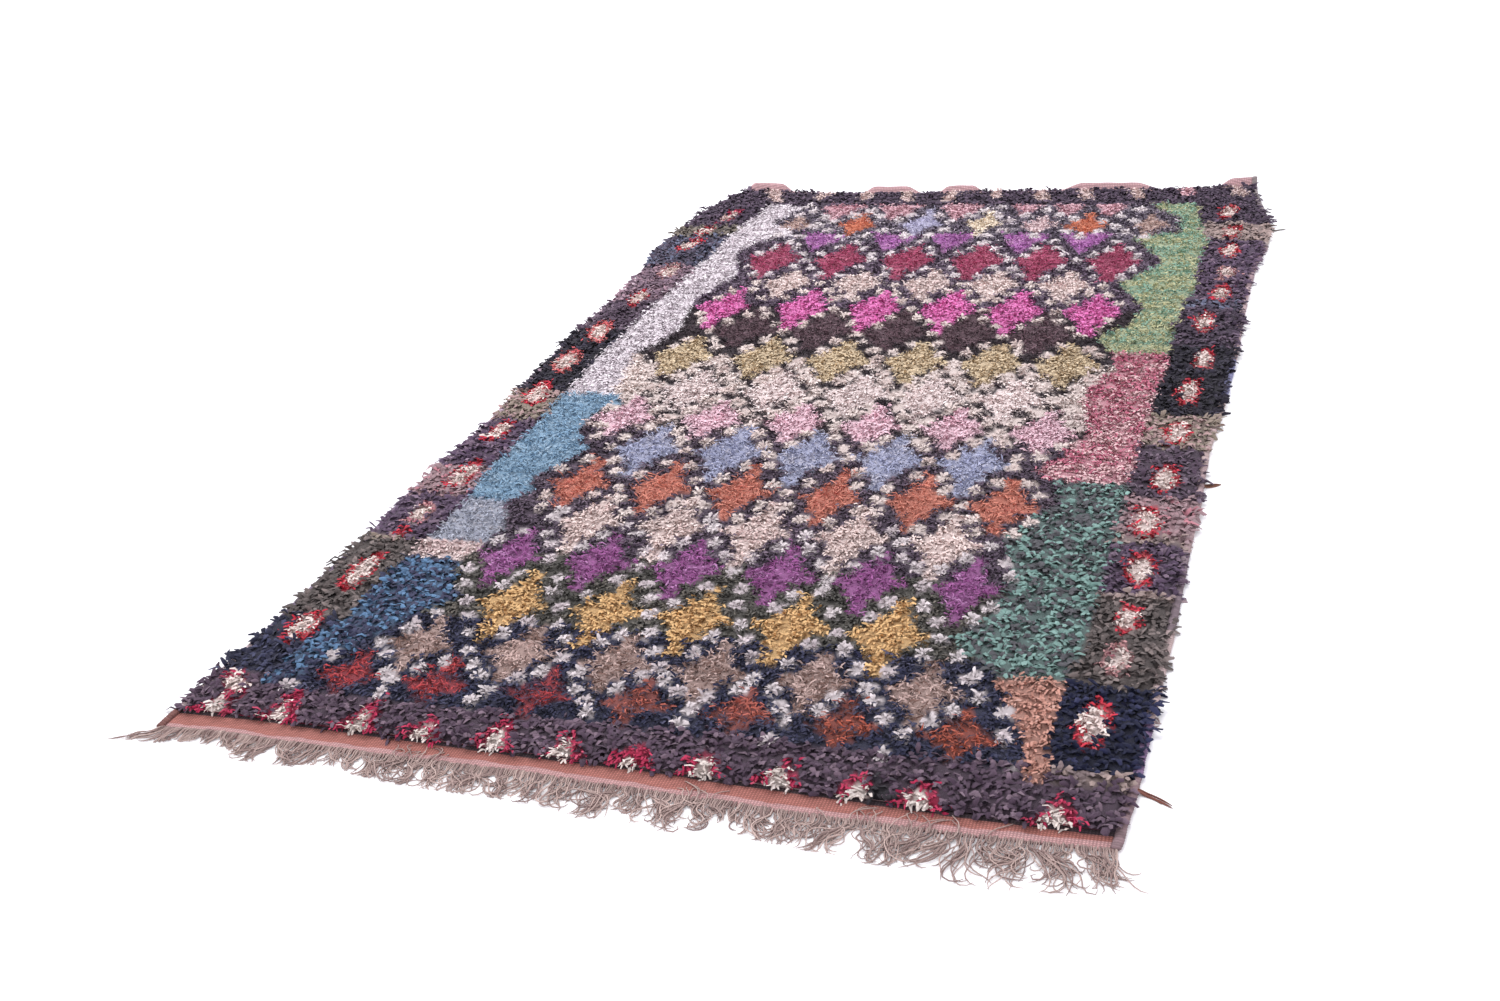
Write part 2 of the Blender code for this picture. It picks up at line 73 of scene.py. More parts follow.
# The rags and yarns by name: the main colour and the one mixed into it as sRGB values, the share of the
# second, and the style.
Cloth = namedtuple("Cloth", "dye other share style")
CLOTHS = {
    "aubergine": Cloth((76, 59, 75), (116, 97, 110), 0.30, "leaf"),
    "night_plum": Cloth((66, 54, 70), (98, 82, 99), 0.30, "leaf"),
    "ink": Cloth((38, 38, 56), (66, 68, 94), 0.28, "leaf"),
    "navy": Cloth((18, 22, 48), (42, 45, 76), 0.24, "leaf"),
    "olive": Cloth((86, 78, 76), (126, 114, 111), 0.30, "leaf"),
    "plum": Cloth((81, 64, 86), (118, 99, 116), 0.28, "leaf"),
    "dusty_rose": Cloth((152, 130, 134), (180, 122, 132), 0.28, "leaf"),
    "drab": Cloth((136, 126, 112), (170, 142, 140), 0.38, "leaf"),
    "soot": Cloth((31, 27, 38), (58, 54, 68), 0.26, "leaf"),
    "grape": Cloth((74, 58, 74), (112, 96, 110), 0.32, "leaf"),
    "mauve": Cloth((112, 92, 106), (154, 126, 138), 0.38, "leaf"),
    "storm": Cloth((74, 64, 80), (104, 108, 130), 0.32, "leaf"),
    "stone": Cloth((130, 120, 110), (98, 90, 86), 0.34, "leaf"),
    "rose_stone": Cloth((164, 144, 138), (130, 114, 114), 0.30, "leaf"),
    "flame_cream": Cloth((224, 212, 204), (236, 224, 218), 0.30, "strip"),
    "flame_red": Cloth((176, 40, 78), (196, 76, 104), 0.26, "strip"),
    "black_patch": Cloth((34, 30, 36), (60, 54, 62), 0.20, "leaf"),
    "medallion_cream": Cloth((238, 223, 216), (216, 184, 180), 0.18, "strip"),
    "medallion_red": Cloth((200, 42, 64), (208, 92, 98), 0.22, "strip"),
    "coral": Cloth((208, 92, 98), (224, 140, 134), 0.30, "strip"),
    "medallion_pink": Cloth((200, 150, 150), (176, 110, 122), 0.30, "strip"),
    "motif_cream": Cloth((228, 206, 200), (214, 188, 186), 0.30, "strip"),
    "motif_pink": Cloth((232, 188, 196), (222, 178, 186), 0.30, "strip"),
    "cobalt": Cloth((92, 126, 160), (60, 62, 86), 0.46, "leaf"),
    "ice": Cloth((174, 179, 194), (196, 194, 202), 0.30, "yarn"),
    "sky": Cloth((134, 168, 194), (166, 190, 208), 0.34, "yarn"),
    "blush": Cloth((212, 186, 184), (226, 208, 204), 0.40, "strip"),
    "lilac_white": Cloth((233, 225, 229), (216, 206, 212), 0.30, "strip"),
    "peach": Cloth((194, 142, 126), (212, 168, 154), 0.30, "strip"),
    "teal": Cloth((126, 160, 152), (84, 84, 88), 0.50, "leaf"),
    "pink_streak": Cloth((190, 96, 124), (222, 186, 188), 0.48, "strip"),
    "leaf_green": Cloth((200, 194, 150), (140, 178, 158), 0.48, "yarn"),
    "field_navy": Cloth((42, 44, 70), (76, 76, 100), 0.24, "strip"),
    "field_olive": Cloth((78, 76, 71), (112, 106, 98), 0.28, "strip"),
    "field_plum": Cloth((84, 70, 86), (114, 98, 112), 0.28, "strip"),
    "field_black": Cloth((50, 39, 46), (78, 64, 70), 0.26, "yarn"),
    "field_grape": Cloth((96, 79, 98), (128, 112, 128), 0.30, "strip"),
    "field_rose": Cloth((228, 209, 205), (150, 128, 128), 0.26, "strip"),
    "field_pale": Cloth((234, 220, 214), (190, 168, 162), 0.24, "strip"),
    "field_mixed": Cloth((84, 72, 92), (206, 194, 202), 0.22, "strip"),
    "red": Cloth((200, 72, 74), (84, 60, 80), 0.42, "fray"),
    "rust": Cloth((198, 106, 88), (86, 68, 82), 0.44, "fray"),
    "orange": Cloth((200, 102, 78), (92, 66, 74), 0.46, "fray"),
    "taupe": Cloth((216, 188, 180), (142, 112, 102), 0.42, "yarn"),
    "gold": Cloth((225, 185, 130), (198, 155, 104), 0.24, "strip"),
    "purple": Cloth((160, 88, 150), (188, 132, 182), 0.30, "yarn"),
    "blush_cream": Cloth((233, 214, 208), (212, 186, 182), 0.28, "strip"),
    "burnt_orange": Cloth((220, 144, 124), (196, 112, 98), 0.32, "fray"),
    "blue_lilac": Cloth((168, 173, 202), (198, 196, 210), 0.32, "yarn"),
    "rose": Cloth((237, 204, 214), (222, 176, 190), 0.30, "strip"),
    "cream": Cloth((240, 225, 222), (224, 204, 202), 0.28, "strip"),
    "straw": Cloth((218, 198, 166), (198, 174, 141), 0.30, "strip"),
    "umber": Cloth((92, 68, 76), (120, 96, 104), 0.30, "yarn"),
    "hot_pink": Cloth((232, 132, 194), (212, 102, 168), 0.28, "strip"),
    "peach_cream": Cloth((234, 217, 212), (217, 191, 188), 0.26, "strip"),
    "crimson": Cloth((168, 66, 102), (202, 114, 140), 0.32, "fray"),
    "violet": Cloth((172, 102, 172), (206, 152, 198), 0.32, "yarn"),
    "beige_brown": Cloth((214, 186, 176), (142, 112, 108), 0.30, "yarn"),
    "amber": Cloth((224, 140, 108), (200, 114, 92), 0.32, "fray"),
    "light_blue": Cloth((182, 178, 204), (202, 198, 216), 0.34, "yarn"),
    "pale_yellow": Cloth((242, 228, 208), (230, 212, 192), 0.28, "strip"),
    "pink_white": Cloth((240, 217, 217), (220, 192, 197), 0.28, "strip"),
    "rose_madder": Cloth((222, 182, 190), (200, 150, 162), 0.32, "strip"),
    "dot": Cloth((219, 209, 210), (206, 193, 196), 0.30, "burst"),
    "warm_dot": Cloth((226, 211, 205), (212, 192, 186), 0.30, "burst"),
}

# The outline as the CAD model has it: the outer edges of the cords, the near cloth edge and pile line,
# the far pile line, and the humps of the far band.
Side = namedtuple("Side", "along left right")
SIDES = (
    Side(-1.365, -0.704, 0.706),
    Side(-1.25, -0.702, 0.713),
    Side(-1.05, -0.699, 0.716),
    Side(-0.87, -0.705, 0.719),
    Side(-0.74, -0.703, 0.719),
    Side(-0.60, -0.716, 0.718),
    Side(-0.46, -0.716, 0.721),
    Side(-0.35, -0.714, 0.719),
    Side(-0.24, -0.716, 0.718),
    Side(0.00, -0.733, 0.730),
    Side(0.24, -0.742, 0.735),
    Side(0.42, -0.747, 0.734),
    Side(0.55, -0.741, 0.734),
    Side(0.66, -0.748, 0.737),
    Side(0.78, -0.772, 0.741),
    Side(0.88, -0.786, 0.756),
    Side(1.04, -0.774, 0.759),
    Side(1.17, -0.773, 0.738),
    Side(1.26, -0.758, 0.722),
    Side(1.35, -0.728, 0.708),
    Side(1.42, -0.700, 0.703),
)
NearEnd = namedtuple("NearEnd", "across cloth pile")
NEAR_END = (
    NearEnd(-0.70, -1.356, -1.318),
    NearEnd(-0.56, -1.352, -1.315),
    NearEnd(-0.35, -1.357, -1.319),
    NearEnd(-0.12, -1.356, -1.326),
    NearEnd(0.05, -1.363, -1.326),
    NearEnd(0.30, -1.371, -1.335),
    NearEnd(0.50, -1.372, -1.343),
    NearEnd(0.70, -1.366, -1.345),
)
FarEnd = namedtuple("FarEnd", "across pile")
FAR_END = (
    FarEnd(-0.70, 1.390),
    FarEnd(-0.55, 1.372),
    FarEnd(-0.43, 1.350),
    FarEnd(-0.29, 1.353),
    FarEnd(-0.12, 1.351),
    FarEnd(0.04, 1.366),
    FarEnd(0.22, 1.368),
    FarEnd(0.44, 1.362),
    FarEnd(0.56, 1.374),
    FarEnd(0.70, 1.398),
)
Hump = namedtuple("Hump", "across half_width rise")
HUMPS = (
    Hump(-0.64, 0.08, 0.024),
    Hump(-0.27, 0.09, 0.019),
    Hump(-0.075, 0.065, 0.019),
    Hump(0.33, 0.14, 0.020),
    Hump(0.69, 0.09, 0.022),
)
# The share of its half width over which a hump's side rises.
HUMP_SIDE = 0.5
# The bare cloth beyond the far pile line.
FAR_BAND_WIDTH = 0.016

# How far the fringe reaches from the cloth and drifts sideways, along the near end.
Reach = namedtuple("Reach", "across reach drift")
FRINGE_REACH = (
    Reach(-0.70, 0.040, -0.050),
    Reach(-0.67, 0.036, -0.028),
    Reach(-0.64, 0.026, -0.010),
    Reach(-0.56, 0.030, 0.006),
    Reach(-0.515, 0.054, 0.004),
    Reach(-0.42, 0.050, -0.004),
    Reach(-0.387, 0.034, 0.004),
    Reach(-0.33, 0.050, 0.006),
    Reach(-0.23, 0.060, -0.004),
    Reach(-0.12, 0.060, 0.006),
    Reach(-0.02, 0.062, 0.010),
    Reach(0.04, 0.076, -0.002),
    Reach(0.08, 0.044, 0.010),
    Reach(0.145, 0.074, 0.002),
    Reach(0.215, 0.034, -0.012),
    Reach(0.245, 0.062, 0.004),
    Reach(0.34, 0.066, 0.008),
    Reach(0.43, 0.078, 0.004),
    Reach(0.477, 0.058, -0.010),
    Reach(0.54, 0.096, -0.004),
    Reach(0.60, 0.094, -0.006),
    Reach(0.66, 0.078, 0.012),
    Reach(0.70, 0.066, 0.034),
)
# Where strands lie folded back over the near band.
FoldedBack = namedtuple("FoldedBack", "start end strands")
FOLDED_BACK = (
    FoldedBack(-0.30, -0.22, 14),
    FoldedBack(0.13, 0.19, 8),
    FoldedBack(0.35, 0.55, 16),
)

# The loose rag ends at the overcast edges: side is -1 left and 1 right, and tint is their cloth.
Tail = namedtuple("Tail", "side along reach drift tint")
TAILS = (
    Tail(1, -1.244, 0.052, -0.022, (132, 82, 70)),
    Tail(1, -1.085, 0.010, -0.004, (170, 150, 150)),
    Tail(1, -0.765, 0.012, 0.002, (160, 140, 146)),
    Tail(1, -0.375, 0.034, 0.014, (128, 88, 72)),
    Tail(1, -0.123, 0.012, 0.008, (128, 88, 72)),
    Tail(1, 1.029, 0.034, 0.016, (120, 116, 112)),
    Tail(-1, -0.990, 0.016, -0.006, (90, 80, 92)),
    Tail(-1, 0.640, 0.014, 0.004, (110, 96, 110)),
    Tail(-1, 1.120, 0.024, 0.010, (70, 62, 76)),
)
# The yarns that the side cords are overcast with, from the near end.
Overcast = namedtuple("Overcast", "side end tint")
OVERCAST = (
    Overcast(1, -1.22, (144, 119, 123)),
    Overcast(1, -1.10, (128, 103, 137)),
    Overcast(1, -0.86, (194, 171, 169)),
    Overcast(1, -0.62, (128, 112, 119)),
    Overcast(1, -0.30, (171, 146, 148)),
    Overcast(1, -0.02, (189, 166, 164)),
    Overcast(1, 0.19, (135, 135, 171)),
    Overcast(1, 0.62, (187, 162, 164)),
    Overcast(1, 0.90, (160, 135, 141)),
    Overcast(1, 1.10, (173, 157, 153)),
    Overcast(1, 1.40, (146, 135, 135)),
    Overcast(-1, -1.30, (126, 84, 78)),
    Overcast(-1, -1.10, (201, 180, 182)),
    Overcast(-1, -0.60, (128, 112, 132)),
    Overcast(-1, 0.10, (171, 150, 164)),
    Overcast(-1, 0.70, (203, 182, 192)),
    Overcast(-1, 1.40, (119, 105, 121)),
)

# The side borders in bands from the near end: side is -1 left and 1 right.
Band = namedtuple("Band", "side end cloth")
BORDER_BANDS = (
    Band(-1, -1.21, "aubergine"),
    Band(-1, -1.04, "ink"),
    Band(-1, -0.77, "olive"),
    Band(-1, -0.59, "plum"),
    Band(-1, -0.47, "dusty_rose"),
    Band(-1, -0.25, "plum"),
    Band(-1, -0.10, "drab"),
    Band(-1, 0.25, "soot"),
    Band(-1, 0.45, "grape"),
    Band(-1, 0.70, "mauve"),
    Band(-1, 0.95, "storm"),
    Band(-1, 1.03, "stone"),
    Band(-1, 1.60, "night_plum"),
    Band(1, -1.24, "aubergine"),
    Band(1, -1.03, "navy"),
    Band(1, -0.78, "olive"),
    Band(1, -0.60, "plum"),
    Band(1, -0.455, "dusty_rose"),
    Band(1, -0.25, "grape"),
    Band(1, -0.11, "drab"),
    Band(1, 0.23, "soot"),
    Band(1, 0.45, "night_plum"),
    Band(1, 0.50, "storm"),
    Band(1, 0.92, "plum"),
    Band(1, 1.05, "rose_stone"),
    Band(1, 1.60, "night_plum"),
)
# The side panels between border and field, from the near end.
PANEL_BANDS = (
    Band(-1, -0.825, "cobalt"),
    Band(-1, -0.76, "blush"),
    Band(-1, -0.60, "ice"),
    Band(-1, -0.11, "sky"),
    Band(-1, 1.60, "lilac_white"),
    Band(1, -1.03, "peach"),
    Band(1, -0.41, "teal"),
    Band(1, 0.19, "pink_streak"),
    Band(1, 1.60, "leaf_green"),
)
# The panels' edges: outer against the border and inner against the field.
PanelEdge = namedtuple("PanelEdge", "along outer inner")
LEFT_PANEL = (
    PanelEdge(-1.24, -0.600, -0.600),
    PanelEdge(-1.19, -0.600, -0.540),
    PanelEdge(-1.10, -0.595, -0.500),
    PanelEdge(-1.05, -0.570, -0.480),
    PanelEdge(-1.00, -0.570, -0.460),
    PanelEdge(-0.95, -0.572, -0.410),
    PanelEdge(-0.90, -0.574, -0.445),
    PanelEdge(-0.84, -0.575, -0.470),
    PanelEdge(-0.70, -0.570, -0.445),
    PanelEdge(-0.61, -0.575, -0.490),
    PanelEdge(-0.55, -0.590, -0.465),
    PanelEdge(-0.50, -0.590, -0.490),
    PanelEdge(-0.45, -0.592, -0.460),
    PanelEdge(-0.37, -0.592, -0.430),
    PanelEdge(-0.30, -0.592, -0.490),
    PanelEdge(-0.20, -0.595, -0.490),
    PanelEdge(-0.15, -0.600, -0.455),
    PanelEdge(-0.08, -0.605, -0.500),
    PanelEdge(0.05, -0.612, -0.515),
    PanelEdge(0.10, -0.615, -0.540),
    PanelEdge(0.20, -0.612, -0.500),
    PanelEdge(0.28, -0.614, -0.485),
    PanelEdge(0.35, -0.615, -0.500),
    PanelEdge(0.45, -0.612, -0.520),
    PanelEdge(0.55, -0.608, -0.500),
    PanelEdge(0.62, -0.606, -0.475),
    PanelEdge(0.70, -0.603, -0.495),
    PanelEdge(0.80, -0.600, -0.535),
    PanelEdge(0.90, -0.603, -0.500),
    PanelEdge(0.95, -0.604, -0.430),
    PanelEdge(1.00, -0.600, -0.450),
    PanelEdge(1.05, -0.594, -0.520),
    PanelEdge(1.10, -0.590, -0.500),
    PanelEdge(1.22, -0.582, -0.465),
)
RIGHT_PANEL = (
    PanelEdge(-1.27, 0.602, 0.562),
    PanelEdge(-1.20, 0.593, 0.560),
    PanelEdge(-1.15, 0.588, 0.545),
    PanelEdge(-1.09, 0.588, 0.512),
    PanelEdge(-1.03, 0.590, 0.488),
    PanelEdge(-0.95, 0.596, 0.410),
    PanelEdge(-0.88, 0.600, 0.445),
    PanelEdge(-0.82, 0.600, 0.462),
    PanelEdge(-0.70, 0.600, 0.455),
    PanelEdge(-0.65, 0.600, 0.430),
    PanelEdge(-0.55, 0.600, 0.460),
    PanelEdge(-0.50, 0.600, 0.490),
    PanelEdge(-0.42, 0.600, 0.470),
    PanelEdge(-0.37, 0.600, 0.430),
    PanelEdge(-0.30, 0.600, 0.470),
    PanelEdge(-0.20, 0.600, 0.500),
    PanelEdge(-0.07, 0.600, 0.470),
    PanelEdge(0.00, 0.600, 0.470),
    PanelEdge(0.10, 0.608, 0.510),
    PanelEdge(0.19, 0.604, 0.490),
    PanelEdge(0.27, 0.600, 0.450),
    PanelEdge(0.35, 0.600, 0.510),
    PanelEdge(0.45, 0.602, 0.520),
    PanelEdge(0.52, 0.610, 0.490),
    PanelEdge(0.60, 0.622, 0.450),
    PanelEdge(0.68, 0.615, 0.495),
    PanelEdge(0.75, 0.612, 0.530),
    PanelEdge(0.86, 0.620, 0.480),
    PanelEdge(0.93, 0.618, 0.440),
    PanelEdge(0.98, 0.604, 0.550),
    PanelEdge(1.08, 0.590, 0.545),
    PanelEdge(1.15, 0.575, 0.490),
    PanelEdge(1.22, 0.565, 0.450),
)
# Where the near border ends and the far one starts, along the rug.
NEAR_BORDER_END = -1.24
FAR_BORDER_START = 1.215
# The right panel's near tip runs on into the near border, this wide and to this place along.
PanelTip = namedtuple("PanelTip", "left right along")
PANEL_TIP = PanelTip(0.568, 0.592, -1.262)

# The ground between the diamonds, from the near end.
Ground = namedtuple("Ground", "end cloth")
FIELD_GROUND = (
    Ground(-1.00, "field_navy"),
    Ground(-0.78, "field_olive"),
    Ground(-0.27, "field_plum"),
    Ground(-0.13, "field_rose"),
    Ground(0.12, "field_pale"),
    Ground(0.42, "field_black"),
    Ground(0.90, "field_grape"),
    Ground(1.60, "field_mixed"),
)

# The diamonds row by row: middle, low and high are along the rug, half is half their width, and centres
# are across it. A cross is a stepped diamond with thin arms, a full one has fat arms, and a point is a
# triangle that stands on its tip.
Row = namedtuple("Row", "middle low high half shape cloth centres")
DIAMOND_ROWS = (
    Row(-1.19, -1.24, -1.12, 0.055, "cross", "red", (-0.47, -0.32, -0.15)),
    Row(-1.19, -1.24, -1.12, 0.055, "cross", "rust", (0.0, 0.16)),
    Row(-1.19, -1.24, -1.12, 0.055, "cross", "orange", (0.31, 0.47)),
    Row(-1.09, -1.17, -1.01, 0.058, "cross", "taupe", (-0.40, -0.23, -0.07, 0.08, 0.24, 0.40)),
    Row(-0.95, -1.06, -0.845, 0.060, "cross", "gold", (-0.31, -0.145, 0.005, 0.16, 0.315)),
    Row(-0.80, -0.90, -0.70, 0.058, "cross", "purple", (-0.39, -0.225, -0.065, 0.095, 0.245, 0.40)),
    Row(-0.66, -0.78, -0.55, 0.060, "cross", "blush_cream", (-0.30, -0.145, 0.01, 0.175, 0.335)),
    Row(-0.52, -0.62, -0.41, 0.060, "cross", "burnt_orange", (-0.385, -0.225, -0.07, 0.10, 0.255, 0.405)),
    Row(-0.36, -0.48, -0.25, 0.070, "cross", "blue_lilac", (-0.31, -0.145, 0.005, 0.165, 0.32)),
    Row(-0.22, -0.30, -0.12, 0.060, "full", "rose", (-0.42, -0.235, -0.06, 0.09, 0.25, 0.42)),
    Row(-0.07, -0.17, 0.03, 0.066, "full", "cream", (-0.33, -0.15, 0.02, 0.17, 0.33)),
    Row(0.11, 0.00, 0.22, 0.066, "full", "straw", (-0.42, -0.235, -0.065, 0.10, 0.26, 0.41)),
    Row(0.27, 0.17, 0.40, 0.072, "full", "umber", (-0.33, -0.15, 0.01, 0.17, 0.33)),
    Row(0.42, 0.28, 0.54, 0.060, "full", "hot_pink", (-0.43, -0.24, -0.07, 0.10, 0.25, 0.42)),
    Row(0.59, 0.48, 0.68, 0.060, "full", "peach_cream", (-0.33, -0.155, 0.015, 0.17, 0.335)),
    Row(0.76, 0.62, 0.87, 0.062, "full", "crimson", (-0.42, -0.245, -0.075, 0.095, 0.25, 0.42)),
    Row(0.90, 0.815, 0.965, 0.068, "point", "violet", (-0.34, -0.15, 0.0, 0.18, 0.33)),
    Row(1.03, 0.96, 1.11, 0.050, "cross", "beige_brown", (-0.45, 0.47)),
    Row(1.03, 0.95, 1.13, 0.052, "cross", "amber", (-0.28, 0.315)),
    Row(1.04, 0.94, 1.18, 0.050, "cross", "light_blue", (-0.11,)),
    Row(1.05, 0.94, 1.15, 0.046, "cross", "pale_yellow", (0.055,)),
    Row(1.03, 0.95, 1.12, 0.048, "cross", "pink_white", (0.20,)),
    Row(1.18, 1.07, 1.23, 0.072, "point", "rose_madder", (-0.36, -0.20, -0.03)),
    Row(1.18, 1.10, 1.23, 0.052, "point", "rose_madder", (0.14, 0.25, 0.36)),
)
# The steps of a diamond, as shares of its half width and half length.
STEPS = {
    "cross": ((1.0, 0.12), (0.68, 0.27), (0.46, 0.54), (0.20, 1.0)),
    "full": ((1.0, 0.15), (0.76, 0.34), (0.54, 0.58), (0.26, 1.0)),
}
# Two diamonds of neighbouring rows share an edge of the net when they are nearer than this across, and
# dots stand at these shares of the edge.
NET_REACH = 0.12
DOT_PLACES = (0.34, 0.66)
# Neighbours in one row are nearer than this, and a dot stands between them.
ROW_REACH = 0.22
# The net goes on past a row that ends short of this place across, as if one more diamond stood this
# far beyond each of its ends.
NET_SIDE = 0.37
NET_STEP = 0.16
# The dots that stand off the net, by the near border and by the panels.
LoneDot = namedtuple("LoneDot", "across along")
LONE_DOTS = (
    LoneDot(-0.550, -1.225),
    LoneDot(-0.385, -1.228),
    LoneDot(-0.235, -1.226),
    LoneDot(-0.065, -1.230),
    LoneDot(0.080, -1.232),
    LoneDot(0.225, -1.236),
    LoneDot(0.375, -1.236),
    LoneDot(0.545, -1.240),
    LoneDot(0.540, -1.185),
    LoneDot(0.525, -1.130),
    LoneDot(0.485, -1.085),
    LoneDot(0.460, -1.040),
    LoneDot(-0.520, -1.135),
    LoneDot(-0.470, -1.090),
    LoneDot(-0.440, -1.045),
)

# The farthest rows are crowded with dots: a staggered grid of them fills this stretch along the rug, in
# columns that stop short of the right panel, where no diamond is, or comes as near as this growth of one.
CROWDED = (0.95, 1.205)
CROWDED_COLUMNS = (-6, 6)
CROWDED_PITCH_ACROSS = 0.078
CROWDED_PITCH_ALONG = 0.0425
CROWDED_CLEARANCE = 1.2

# Between these places along the rug the dots are of the warmer white.
WARM_DOTS = (-0.62, 0.60)
# Between these the ground is pale, and thin dark lines go round the diamonds. A line reaches this much
# farther than its diamond, and this share of its knots is tied.
PALE_GROUND = (-0.27, 0.14)
OUTLINE_GROWTH = 1.30
OUTLINE_SHARE = 0.75

# How large the dots are along the rug, against the usual size.
DotGrowth = namedtuple("DotGrowth", "along size")
DOT_GROWTH = (
    DotGrowth(-1.20, 0.95),
    DotGrowth(-0.60, 1.0),
    DotGrowth(-0.35, 1.1),
    DotGrowth(-0.15, 1.3),
    DotGrowth(0.12, 1.25),
    DotGrowth(0.30, 1.0),
    DotGrowth(0.80, 1.0),
    DotGrowth(0.96, 1.3),
)

# The motifs in the borders: slant is in degrees, anticlockwise from the rug's length.
Medallion = namedtuple("Medallion", "across along half_width half_length slant core rim")
MEDALLIONS = (
    Medallion(-0.64, -1.24, 0.022, 0.046, 40, "medallion_cream", "flame_red"),
    Medallion(-0.628, -1.07, 0.030, 0.050, 0, "medallion_cream", "medallion_red"),
    Medallion(-0.630, -0.887, 0.028, 0.068, 4, "medallion_cream", "medallion_red"),
    Medallion(-0.630, -0.745, 0.016, 0.018, 0, "medallion_red", "medallion_red"),
    Medallion(-0.635, -0.67, 0.024, 0.045, 0, "medallion_cream", "medallion_pink"),
    Medallion(-0.632, -0.505, 0.028, 0.064, 0, "medallion_cream", "medallion_red"),
    Medallion(-0.655, -0.31, 0.026, 0.055, 0, "medallion_cream", "medallion_red"),
    Medallion(-0.660, -0.12, 0.028, 0.070, 8, "medallion_cream", "medallion_red"),
    Medallion(-0.675, 0.065, 0.032, 0.068, 12, "medallion_cream", "coral"),
    Medallion(-0.675, 0.24, 0.030, 0.072, 14, "medallion_cream", "coral"),
    Medallion(-0.670, 0.47, 0.024, 0.062, 2, "medallion_cream", "medallion_red"),
    Medallion(-0.665, 0.66, 0.028, 0.050, 6, "medallion_cream", "medallion_pink"),
    Medallion(-0.690, 0.87, 0.026, 0.054, -16, "medallion_cream", "medallion_red"),
    Medallion(-0.690, 0.98, 0.026, 0.042, 0, "medallion_cream", "medallion_red"),
    Medallion(-0.665, 1.12, 0.024, 0.062, -8, "medallion_cream", "flame_red"),
    Medallion(0.640, -1.125, 0.026, 0.062, 0, "medallion_cream", "medallion_red"),
    Medallion(0.650, -0.96, 0.022, 0.048, 0, "medallion_cream", "medallion_pink"),
    Medallion(0.650, -0.85, 0.022, 0.044, 0, "medallion_cream", "medallion_red"),
    Medallion(0.650, -0.70, 0.028, 0.058, 0, "medallion_cream", "medallion_red"),
    Medallion(0.642, -0.54, 0.028, 0.060, 0, "medallion_cream", "medallion_red"),
    Medallion(0.655, -0.38, 0.026, 0.054, 0, "medallion_cream", "medallion_red"),
    Medallion(0.655, -0.19, 0.026, 0.056, 0, "medallion_cream", "medallion_red"),
    Medallion(0.660, 0.00, 0.024, 0.072, 0, "medallion_cream", "medallion_red"),
    Medallion(0.672, 0.17, 0.024, 0.056, 0, "medallion_cream", "medallion_red"),
    Medallion(0.658, 0.375, 0.024, 0.062, 0, "medallion_cream", "medallion_red"),
    Medallion(0.676, 0.55, 0.024, 0.058, 0, "medallion_cream", "medallion_red"),
    Medallion(0.680, 0.68, 0.024, 0.050, 0, "medallion_cream", "medallion_pink"),
    Medallion(0.675, 0.84, 0.026, 0.050, 0, "medallion_cream", "medallion_red"),
    Medallion(0.670, 0.98, 0.026, 0.046, 0, "medallion_cream", "medallion_red"),
    Medallion(0.652, 1.14, 0.025, 0.062, -8, "medallion_cream", "medallion_red"),
)
# The rags spread sideways, so a medallion is knotted narrower by this. Its core has this share of its
# area.
MEDALLION_NARROWING = 0.88
MEDALLION_CORE = 0.47
# The plain motifs of the far border: from their far tip to their near tip.
FarMotif = namedtuple("FarMotif", "far_across far_along near_across near_along half_width cloth")
FAR_MOTIFS = (
    FarMotif(-0.615, 1.369, -0.575, 1.256, 0.017, "motif_cream"),
    FarMotif(-0.442, 1.364, -0.455, 1.266, 0.014, "motif_cream"),
    FarMotif(-0.325, 1.364, -0.325, 1.256, 0.015, "motif_cream"),
    FarMotif(-0.218, 1.364, -0.200, 1.251, 0.015, "motif_cream"),
    FarMotif(-0.085, 1.359, -0.085, 1.246, 0.014, "motif_cream"),
    FarMotif(0.030, 1.359, 0.045, 1.271, 0.013, "motif_cream"),
    FarMotif(0.145, 1.354, 0.172, 1.246, 0.015, "motif_cream"),
    FarMotif(0.262, 1.369, 0.286, 1.251, 0.015, "motif_cream"),
    FarMotif(0.392, 1.369, 0.420, 1.256, 0.015, "motif_cream"),
    FarMotif(0.530, 1.369, 0.540, 1.281, 0.016, "motif_pink"),
    FarMotif(0.652, 1.374, 0.672, 1.276, 0.016, "motif_cream"),
)
# These motifs are knotted wider by this, and start this share of their length beyond their far tip.
FAR_MOTIF_GROWTH = 1.2
FAR_MOTIF_LEAD = 0.2
# The flames of the near border: the height of the red one over the pile line, and of the cream in it.
Flame = namedtuple("Flame", "across red_height cream_height")
FLAMES = (
    Flame(-0.634, 0.058, 0.048),
    Flame(-0.520, 0.095, 0.050),
    Flame(-0.385, 0.092, 0.050),
    Flame(-0.275, 0.056, 0.044),
    Flame(-0.162, 0.080, 0.048),
    Flame(-0.055, 0.054, 0.042),
    Flame(0.050, 0.058, 0.016),
    Flame(0.152, 0.058, 0.044),
    Flame(0.260, 0.060, 0.046),
    Flame(0.367, 0.060, 0.044),
    Flame(0.449, 0.058, 0.040),
    Flame(0.623, 0.062, 0.046),
)
# The half widths of the flames and of the cream in them, at the pile line.
FLAME_HALF_WIDTH = 0.034
FLAME_CREAM_HALF_WIDTH = 0.019
# A few knots of black rag in the near border.
Patch = namedtuple("Patch", "left right near far")
BLACK_PATCH = Patch(0.385, 0.412, -1.345, -1.30)

